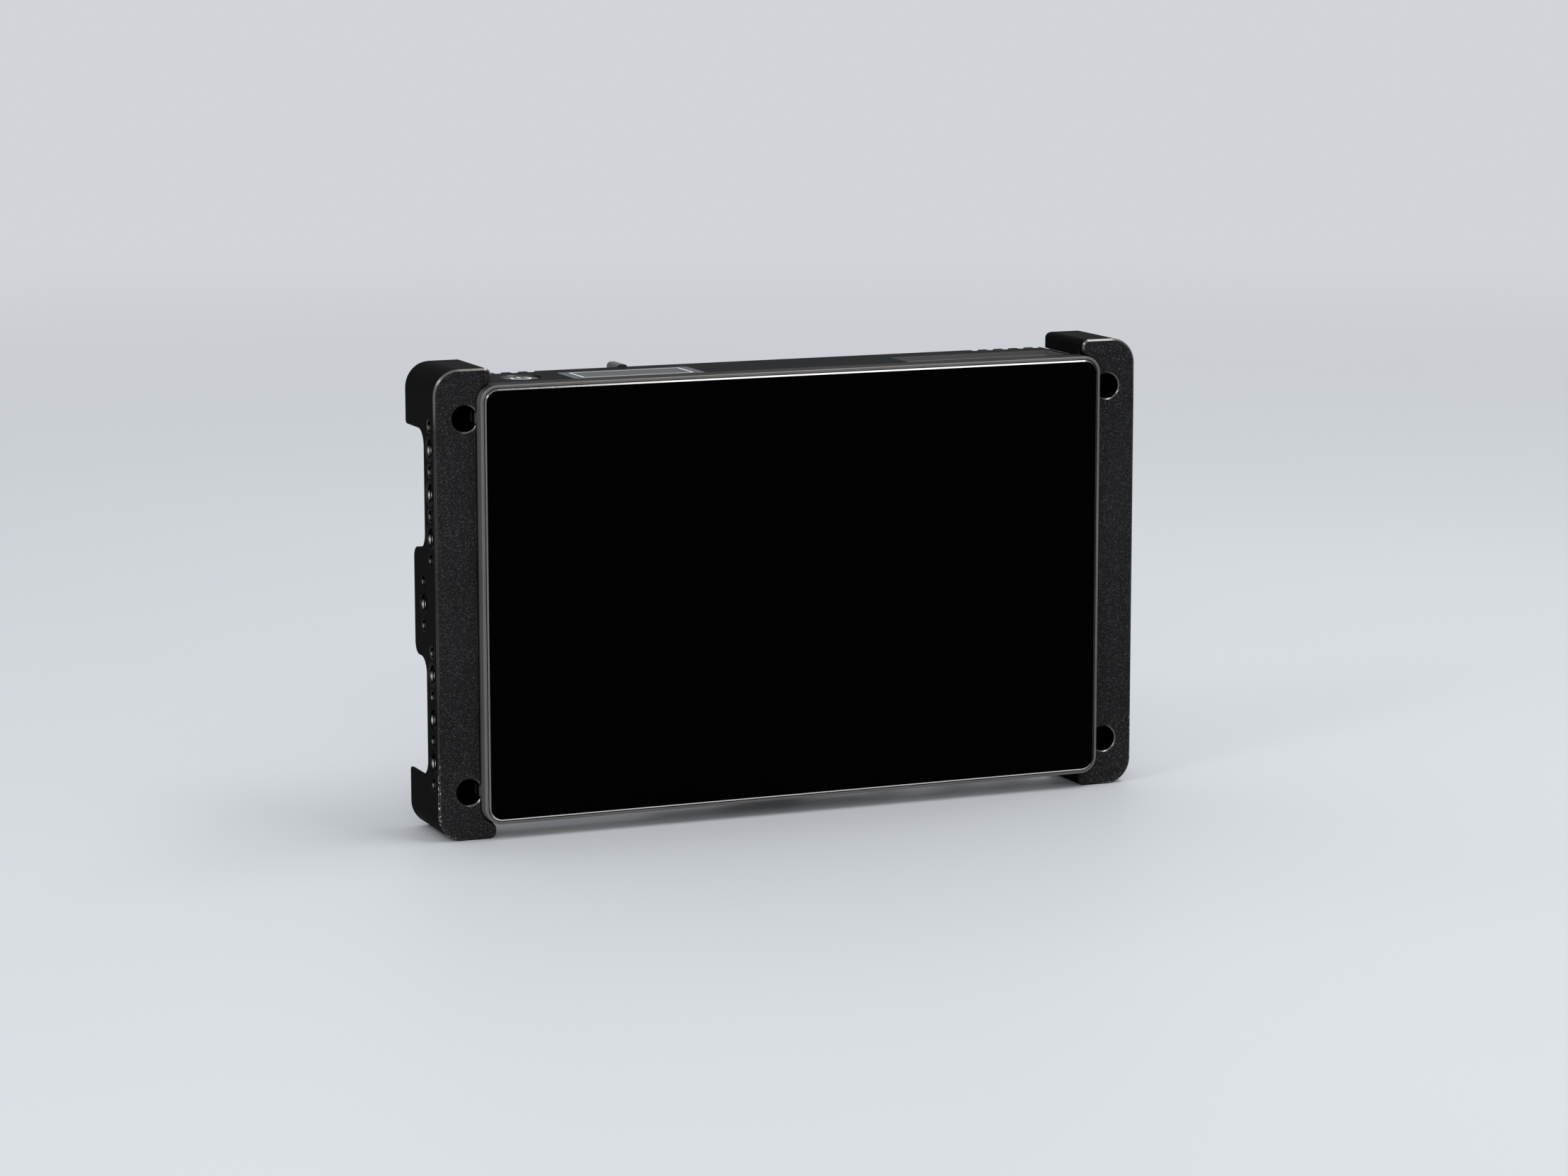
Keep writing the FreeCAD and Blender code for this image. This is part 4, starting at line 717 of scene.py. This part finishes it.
# %% Glass edge strip
GLASS_CORNER = 3.4 * MM
BEVEL = 0.35 * MM
EDGE_SKIN = 0.03 * MM
GRIT_SCALE, GRIT_DETAIL = 1500.0, 3.0
GROUND_GREYS = (0.17, 0.165, 0.16, 1), (0.26, 0.25, 0.245, 1)
LOWER_HIGHLIGHT_GREYS = (0.85, 0.84, 0.83, 1), (0.95, 0.94, 0.93, 1)
LOWER_FACES = (-0.25, -0.65)
GROUND_ROUGH, GRIT_ROUGH = 0.1, 0.12


def rounded_loop(half, radius, steps=8):
    """A rectangle with round corners: four quarter circles joined by their straight sides."""
    quarter = np.linspace(0, np.pi / 2, steps)
    angles = np.concatenate([quarter + turn * np.pi / 2 for turn in range(4)])
    signs = np.array([(1, 1), (-1, 1), (-1, -1), (1, -1)])
    centres = np.repeat(signs * (np.asarray(half) - radius), steps, axis=0)
    return centres + radius * np.stack([np.cos(angles), np.sin(angles)], axis=1)


def glass_edge_material():
    """Ground glass as a grey mirror with a fine grit, and a painted highlight where it faces down.
    """
    material, tree, shader = new_material("ground glass edge")
    grit = noise(tree, object_place(tree), GRIT_SCALE, GRIT_DETAIL)
    ground = mix_colour(tree, grit, *GROUND_GREYS)
    # Painted highlight: the faces that look down get a near-white matt colour.
    lower_highlight = mix_colour(tree, grit, *LOWER_HIGHLIGHT_GREYS)
    lower = ramp(tree, face_direction(tree)["Z"], *LOWER_FACES)
    set_inputs(tree, shader, Base_Color=mix_colour(tree, lower, ground, lower_highlight),
               Metallic=one_minus(tree, lower),
               Roughness=raised(tree, GROUND_ROUGH, grit, GRIT_ROUGH))
    return material


def glass_edge_ring():
    """Four loops of (corner of the section, step round the rim) points: outer and inner edge
    of the slope, each once on the skin and once just under it."""
    half = np.array((glass_high.x - glass_low.x, glass_high.z - glass_low.z)) / 2
    middle = np.array((glass_high.x + glass_low.x, glass_high.z + glass_low.z)) / 2
    inset = np.array((-EDGE_SKIN / 2, BEVEL - EDGE_SKIN, BEVEL, 0.0))
    depth = np.array((BEVEL - EDGE_SKIN / 2, 0.0, EDGE_SKIN, BEVEL + EDGE_SKIN))
    loops = np.stack([middle + rounded_loop(half - cut, GLASS_CORNER - cut) for cut in inset])
    heights = np.broadcast_to((glass_low.y + depth)[:, None], loops.shape[:2])
    return np.stack([loops[..., 0], heights, loops[..., 1]], axis=-1)


ring = glass_edge_ring()
ring_faces = grid_faces(*ring.shape[:2], wrap_rows=True, wrap_columns=True)
edge_strip = mesh_piece("glass_ground_edge", ring, ring_faces, glass_edge_material(), smooth=False)
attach(edge_strip, "monitor")
print(edge_strip.name, len(edge_strip.data.polygons), "faces")

# %% [markdown]
# ## Painted highlight on the flank in the holes
# The walls of the holes in the brackets are smooth, near-black metal, which paints the shade in
# the holes. A pale colour is painted along the flank that looks forward and a little up, where
# the lamps are, as a painted highlight, and the walls stay black elsewhere. In these pale
# surroundings a plain mirror would be grey all round, so the wall's own direction decides how
# much it reflects.

# %% Flank in the bore's material
FLANK_TOWARDS = (0.0, -0.94, 0.34)
FLANK_NEAR = (0.82, 0.97)
FLANK_HIGHLIGHT_PALE = (0.68, 0.65, 0.62, 1)


def painted_flank_highlight(material):
    """Paint the pale highlight where the wall's direction comes near to the lamps' direction."""
    tree = material.node_tree
    wall = add_node(tree, "ShaderNodeNewGeometry").outputs["Normal"]
    near = vector_node(tree, "DOT_PRODUCT", wall, FLANK_TOWARDS)
    # A painted highlight: pale colour on the flank that faces the lamps.
    paint_over(tree, ramp(tree, near, *FLANK_NEAR), FLANK_HIGHLIGHT_PALE)


painted_flank_highlight(finishes["bore_metal"])

# %% [markdown]
# ## Screw threads and pin holes
# The tapped holes in the brackets are plain bores in the solid. A real one shows its thread
# as ridges that wind down into the hole. Each thread is a closed ring of metal that lines the
# bore: its inner wall is a ridge wave along the hole, shifted by one pitch in each turn, which
# is exactly a helix. The small pin holes between them get the same ring with a ridge of zero
# height.

# %% Rings that line a hole
THREAD_PITCH = 25.4 / 20 * MM
THREAD_RIDGE = 0.42 * MM
RIDGE_POWER = 1.5
RUN_OUT = 0.5 * THREAD_PITCH
THREAD_SKIN, BACK_GAP = 0.04 * MM, 0.004 * MM
THREAD_LEAD, PIN_LEAD = 0.37 * MM, 0.17 * MM
FLOOR_GAP = 0.8 * MM
PIN_DEPTH = 4.0 * MM
ROUND_STEPS = 40
STEPS_PER_PITCH = 8


def thread_rings(mouths, inward, radius, length, lead, ridge):
    """Rings of (hole, turn, section) points: the wall's radius dips by a rounded ridge where
    depth / pitch - turn / full turn is whole, and both ends run out smoothly."""
    inward = np.asarray(inward, float)
    side = np.cross(inward, (0.0, 1.0, 0.0))
    other = np.cross(inward, side)
    run = length - lead - FLOOR_GAP
    steps = int(run / THREAD_PITCH * STEPS_PER_PITCH)
    turn = np.linspace(0, 2 * np.pi, ROUND_STEPS, endpoint=False)[:, None]
    down = np.linspace(0, run, steps)[None, :]
    wave = 0.5 + 0.5 * np.cos(2 * np.pi * (down / THREAD_PITCH - turn / (2 * np.pi)))
    fade = np.clip(np.minimum(down, run - down) / RUN_OUT, 0, 1)
    inner = radius - THREAD_SKIN - ridge * wave ** RIDGE_POWER * fade
    outer = np.broadcast_to(radius - BACK_GAP, (ROUND_STEPS, 2))
    reach = np.concatenate([inner, outer], axis=1)
    depth = np.broadcast_to(np.concatenate([down, [[run, 0.0]]], axis=1), reach.shape) + lead
    ring = (reach[..., None] * (np.cos(turn)[..., None] * side + np.sin(turn)[..., None] * other)
            + depth[..., None] * inward)
    return np.asarray(mouths, float)[:, None, None, :] + ring[None]


# %% [markdown]
# ## Which holes are lined
# The record's mounts say where the holes open and how wide and deep they are. Both brackets are
# lined in near-black bore metal, which paints the shade in the holes, and the tripod insert under
# the housing in bright steel.

# %% Linings of the holes


def hole_mouths(side, word):
    """Where one bracket's pairs of holes open, from the record's mounts with this word."""
    places = []
    for name, mount in mounts.items():
        if name.startswith(side) and word in name:
            rise = mount["dims"]["spacing_y_mm"] / 2 * MM
            places += [np.add(mount["pos_m"], (0, 0, way * rise)) for way in (-1, 1)]
    return places


def lining_piece(name, mouths, inward, radius, length, finish, slot, lead=THREAD_LEAD,
                 ridge=THREAD_RIDGE):
    """One mesh of the rings in all these holes, riding on the monitor."""
    grids = thread_rings(mouths, inward, radius, length, lead, ridge)
    points, faces = several_grids(grids, wrap_rows=True, wrap_columns=True)
    piece = mesh_piece(name, points, faces, finishes[finish])
    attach(piece, "monitor")
    print(name, len(faces), "faces")


def thread_size(mount):
    """Radius and length of a thread mount in metres."""
    return mount["dims"]["r_mm"] * MM, mount["dims"]["length_mm"] * MM


for side, inward in (("left", (1, 0, 0)), ("right", (-1, 0, 0))):
    pin = mounts[side + "_tab_pins"]
    tab = mounts[side + "_tab_thread"]
    tab_mouth = (pin["pos_m"][0], *tab["pos_m"][1:])
    lining_piece(side + "_bracket_threads", hole_mouths(side, "_threads") + [tab_mouth], inward,
                 *thread_size(tab), "bore_metal", "bracket_black")
    lining_piece(side + "_bracket_pin_holes", hole_mouths(side, "_pins"), inward,
                 pin["dims"]["hole_r_mm"] * MM, PIN_DEPTH, "bore_metal", "bracket_black",
                 lead=PIN_LEAD, ridge=0.0)
tripod = mounts["tripod_thread"]
tripod_mouth = (*tripod["pos_m"][:2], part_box("tripod_insert")[0].z)
lining_piece("tripod_insert_thread", [tripod_mouth], (0, 0, 1), *thread_size(tripod),
             "spring_steel", "spring_steel")

# %% [markdown]
# ## Release spring
# A coil under the battery release gives way when the tab is pressed. The solid coil is rigid, so
# a coil of the same size stands in for it and the solid one is hidden. It is a circle carried
# along a helix.

# %% Coil under the release
COIL_TURNS = 6
COIL_WIRE = 0.25 * MM
COIL_STEPS, WIRE_STEPS = 145, 10
coil_low, coil_high = (np.array(corner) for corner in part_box("release_spring"))
coil_foot = np.array((*(coil_low + coil_high)[:2] / 2, coil_low[2]))


def coil_tube():
    """(step along the helix, turn of the section) points: each circle lies across the helix,
    between the direction out from the axis and the one square to that and to the wire."""
    radius = (coil_high[0] - coil_low[0]) / 2 - COIL_WIRE
    rise = coil_high[2] - coil_low[2] - 2 * COIL_WIRE
    angle = np.linspace(0, 2 * np.pi * COIL_TURNS, COIL_STEPS)
    flat = np.zeros_like(angle)
    out = np.stack([np.cos(angle), np.sin(angle), flat], axis=1)
    climb = np.full_like(angle, rise / angle[-1])
    along = np.stack([-radius * np.sin(angle), radius * np.cos(angle), climb], axis=1)
    square = np.cross(along / np.linalg.norm(along, axis=1, keepdims=True), out)
    middle = radius * out + np.stack([flat, flat, COIL_WIRE + climb * angle], axis=1)
    turn = np.linspace(0, 2 * np.pi, WIRE_STEPS, endpoint=False)[None, :, None]
    circles = COIL_WIRE * (np.cos(turn) * out[:, None] + np.sin(turn) * square[:, None])
    return coil_foot + middle[:, None] + circles


tube = coil_tube()
coil_faces = grid_faces(*tube.shape[:2], wrap_columns=True).tolist()
last_end = (COIL_STEPS - 1) * WIRE_STEPS + np.arange(WIRE_STEPS)
coil_faces += [list(range(WIRE_STEPS))[::-1], last_end.tolist()]
coil = mesh_piece("release_coil", tube, coil_faces, finishes["spring_steel"])
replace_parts(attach(coil, "monitor"), "release_spring")
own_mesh(coil)
print("coil height in mm", round((coil_high[2] - coil_low[2]) / MM, 2))

# %% [markdown]
# ## Print on the top
# The power button carries a white power sign, and behind the screen's edge lies an outlined
# label field, kept bare here. Printed ink is a skin a few hundredths of a millimetre thick.
# Each stroke is a flat ribbon: a rectangle carried along the line of the drawing. A picture
# of the print would do too, but it would blur close up.

# %% Ink and ribbons
INK_THICKNESS, INK_RELIEF = 0.05 * MM, 0.008 * MM
PATCH_SCALE, PATCH_DETAIL = 900.0, 3.0
PATCH_DARK, PATCH_ROUGH = 0.78, 0.2


def flat_ink(name, colour, roughness):
    """Printed ink: slightly uneven in colour and in gloss."""
    material, tree, shader = new_material(name)
    patch = noise(tree, object_place(tree), PATCH_SCALE, PATCH_DETAIL)
    darker = tuple(PATCH_DARK * part for part in colour)
    set_inputs(tree, shader, Base_Color=mix_colour(tree, patch, (*darker, 1.0), (*colour, 1.0)),
               Roughness=raised(tree, roughness, patch, PATCH_ROUGH))
    bump_into(tree, shader, patch, INK_RELIEF)
    return material


WHITE_INK = flat_ink("white ink", (0.85, 0.86, 0.88), 0.45)
GREY_INK = flat_ink("grey ink", (0.16, 0.17, 0.185), 0.45)
LABEL_FILM = flat_ink("label film", (0.024, 0.027, 0.033), 0.4)


def ribbon(line, width, low, high, closed=False):
    """A rectangle carried along a flat line: (step, section) points from the line's normals."""
    line = np.asarray(line, float)
    if closed:
        ahead = np.roll(line, -1, axis=0) - np.roll(line, 1, axis=0)
    else:
        ahead = np.gradient(line, axis=0)
    ahead /= np.linalg.norm(ahead, axis=1, keepdims=True)
    across = np.stack([-ahead[:, 1], ahead[:, 0]], axis=1) * width / 2
    edges = np.stack([line + across, line - across, line - across, line + across], axis=1)
    levels = np.array([high, high, low, low])[None, :, None]
    return np.concatenate([edges, np.broadcast_to(levels, (*edges.shape[:2], 1))], axis=2)


def ribbon_piece(name, lines, width, low, material, body, closed=False):
    """One mesh from several equally sampled lines, each a ribbon that is closed at its ends."""
    parts = np.stack([ribbon(line, width, low, low + INK_THICKNESS, closed) for line in lines])
    count, rows, columns = parts.shape[:3]
    points, faces = several_grids(parts, wrap_rows=closed, wrap_columns=True)
    faces = faces.tolist()
    if not closed:
        section = np.arange(columns)
        for start in np.arange(count) * rows * columns:
            last = start + (rows - 1) * columns
            faces += [(start + section[::-1]).tolist(), (last + section).tolist()]
    piece = mesh_piece(name, points, faces, material, smooth=False)
    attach(piece, body)


# %% [markdown]
# ## Power sign
# The sign is the usual one: an open ring with a short bar through its gap. It rides on the
# button, so it sinks with it.

# %% Power sign on the button
SIGN_RADIUS = 2.35 * MM
SIGN_STROKE = 0.6 * MM
SIGN_OPENING = math.radians(40)
SIGN_BAR = (0.25, 1.25)
SIGN_STEPS = 33
INK_SUNK = 0.2 * INK_THICKNESS
button_low, button_high = (np.array(corner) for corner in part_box("power_button"))
button_middle = (button_low + button_high)[:2] / 2
sweep = np.linspace(SIGN_OPENING, 2 * np.pi - SIGN_OPENING, SIGN_STEPS)
arc = button_middle + SIGN_RADIUS * np.stack([np.sin(sweep), np.cos(sweep)], axis=1)
bar = button_middle + np.linspace(*SIGN_BAR, SIGN_STEPS)[:, None] * (0, SIGN_RADIUS)
ribbon_piece("power_sign", [arc, bar], SIGN_STROKE, button_high[2] - INK_SUNK, WHITE_INK,
             "power_button")
print("power sign in mm", round(2 * SIGN_RADIUS / MM, 1))

# %% [markdown]
# ## Label field
# A dark film lies flat on the top. It has a grey border, a thin white frame and two white
# end bars, and the room for words between them is left bare.

# %% Label field on the top
LABEL_LEFT, LABEL_RIGHT = -56.7 * MM, -22.0 * MM
LABEL_FRONT, LABEL_BACK = glass_low.y + 8.3 * MM, glass_low.y + 22.0 * MM
LABEL_CORNER = 0.8 * MM
BORDER_INSET, BORDER_CORNER, BORDER_WIDTH = 0.4 * MM, 0.5 * MM, 0.3 * MM
FRAME_INSET, FRAME_CORNER, FRAME_WIDTH = (2.9 * MM, 1.6 * MM), 0.2 * MM, 0.28 * MM
BAR_WIDTH, BAR_STEPS = 0.5 * MM, 3
housing_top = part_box("main_housing")[1].z
line_level = housing_top + INK_THICKNESS - INK_SUNK
label_middle = np.array((LABEL_LEFT + LABEL_RIGHT, LABEL_FRONT + LABEL_BACK)) / 2
label_half = np.array((LABEL_RIGHT - LABEL_LEFT, LABEL_BACK - LABEL_FRONT)) / 2
frame_half = label_half - FRAME_INSET


def flat_plate(name, loop, low, high, material, body):
    """A thin plate: its outline at two heights, closed by one face below and one above."""
    count = len(loop)
    rings = np.stack([np.column_stack([loop, np.full(count, z)]) for z in (low, high)])
    faces = grid_faces(2, count, wrap_columns=True).tolist()
    faces += [list(range(count))[::-1], list(range(count, 2 * count))]
    piece = mesh_piece(name, rings, faces, material, smooth=False)
    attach(piece, body)


flat_plate("label_field", label_middle + rounded_loop(label_half, LABEL_CORNER), housing_top,
           housing_top + INK_THICKNESS, LABEL_FILM, "monitor")
border = label_middle + rounded_loop(label_half - BORDER_INSET, BORDER_CORNER)
ribbon_piece("label_border", [border], BORDER_WIDTH, line_level, GREY_INK, "monitor",
             closed=True)
outline = label_middle + rounded_loop(frame_half, FRAME_CORNER)
ribbon_piece("label_frame", [outline], FRAME_WIDTH, line_level, WHITE_INK, "monitor",
             closed=True)
bars = [label_middle + frame_half * np.linspace((way, -1), (way, 1), BAR_STEPS) for way in (-1, 1)]
ribbon_piece("label_bars", bars, BAR_WIDTH, housing_top + INK_THICKNESS, WHITE_INK, "monitor")
print("label field in mm", np.round(2 * label_half / MM, 1))

# %% [markdown]
# ## Floor
# A plain pale floor carries the shadow. Near the monitor it is an ordinary matt surface.
# Farther out it fades into the same pale tone as the surroundings, so no horizon shows. The
# fade works on what the camera and the reflections see, so it adds no light. Seen from
# below the floor is clear, so that the underside can be looked at too.

# %% Floor
FLOOR_RADIUS, FLOOR_CENTRE, FLOOR_POWER = 9.0, 0.002, 2.5
FLOOR_RINGS, FLOOR_STEPS = 24, 64
FLOOR_TONES, TONE_SCALE = ((0.66, 0.68, 0.70, 1), (0.70, 0.72, 0.74, 1)), 3.0
FLOOR_ROUGH, FLOOR_SPECULAR = 0.55, 0.2
FADE = (0.35, 1.7)
PALE = (0.64, 0.66, 0.69, 1)


def floor_disc():
    """Rings of points: the radius grows as a power of the first parameter, the second turns."""
    reach = FLOOR_RADIUS * np.linspace(FLOOR_CENTRE, 1, FLOOR_RINGS)[:, None] ** FLOOR_POWER
    turn = np.linspace(0, 2 * np.pi, FLOOR_STEPS, endpoint=False)[None, :]
    return np.stack([reach * np.cos(turn), reach * np.sin(turn), 0 * reach * turn], axis=-1)


def floor_material():
    """Matt near the monitor, fading to the surroundings' tone, and clear from below."""
    material, tree, shader = new_material("pale floor")
    place = object_place(tree)
    tone = mix_colour(tree, noise(tree, place, TONE_SCALE), *FLOOR_TONES)
    set_inputs(tree, shader, Base_Color=tone, Roughness=FLOOR_ROUGH,
               Specular_IOR_Level=FLOOR_SPECULAR)
    away = vector_node(tree, "LENGTH", place)
    ray = add_node(tree, "ShaderNodeLightPath").outputs
    seen = math_node(tree, "MAXIMUM", ray["Is Camera Ray"], ray["Is Glossy Ray"],
                     ray["Is Transmission Ray"])
    fade = math_node(tree, "MULTIPLY", seen, ramp(tree, away, *FADE))
    far = add_node(tree, "ShaderNodeEmission", Color=PALE)
    under = add_node(tree, "ShaderNodeBsdfTransparent")
    back = add_node(tree, "ShaderNodeNewGeometry").outputs["Backfacing"]
    shown = shader.outputs[0]
    for share, other in ((fade, far), (back, under)):
        blend = add_node(tree, "ShaderNodeMixShader")
        for socket, source in zip(blend.inputs, (share, shown, other.outputs[0])):
            feed(tree, socket, source)
        shown = blend.outputs[0]
    set_inputs(tree, tree.nodes["Material Output"], Surface=shown)
    return material


disc = floor_disc()
floor_faces = grid_faces(*disc.shape[:2], wrap_columns=True)[:, ::-1].tolist()
floor_faces.append(list(range(FLOOR_STEPS)))
floor = mesh_piece("floor", disc, floor_faces, floor_material(), smooth=False)
print("floor faces", len(floor.data.polygons))

# %% [markdown]
# ## Light
# Most of the light comes evenly from the pale surroundings. One soft lamp overhead draws the
# bright line on every leaning edge at the top, and one at the front lifts the grain of the
# front faces. A small lamp on the left makes the rounded corner and the hole rims sparkle,
# and a weak strip behind parts the top from the background.

# %% Lamps and world


def soft_lamp(name, place, size, power):
    """A rectangular lamp, in metres and watts, that faces the monitor and isn't seen itself."""
    data = bpy.data.lights.new(name, "AREA")
    data.shape = "RECTANGLE"
    data.size, data.size_y = size
    data.energy = power
    lamp = bpy.data.objects.new(name, data)
    lamp.location = place
    lamp.visible_camera = False
    lamp.rotation_euler = (AIM - Vector(place)).to_track_quat("-Z", "Y").to_euler()
    scene.collection.objects.link(lamp)


soft_lamp("overhead", (0.42, -0.2, 1.05), (1.0, 0.26), 4.5)
soft_lamp("front", (-0.6, -1.6, 0.7), (0.7, 0.7), 4.5)
soft_lamp("left_sparkle", (-0.86, -0.5, 0.78), (0.22, 0.3), 1.6)
soft_lamp("back_strip", (-0.1, 0.9, 0.8), (1.2, 0.2), 0.6)
world = bpy.data.worlds.new("studio")
world.use_nodes = True
set_inputs(world.node_tree, world.node_tree.nodes["Background"], Color=PALE, Strength=1.0)
scene.world = world
scene.view_settings.view_transform = "Standard"
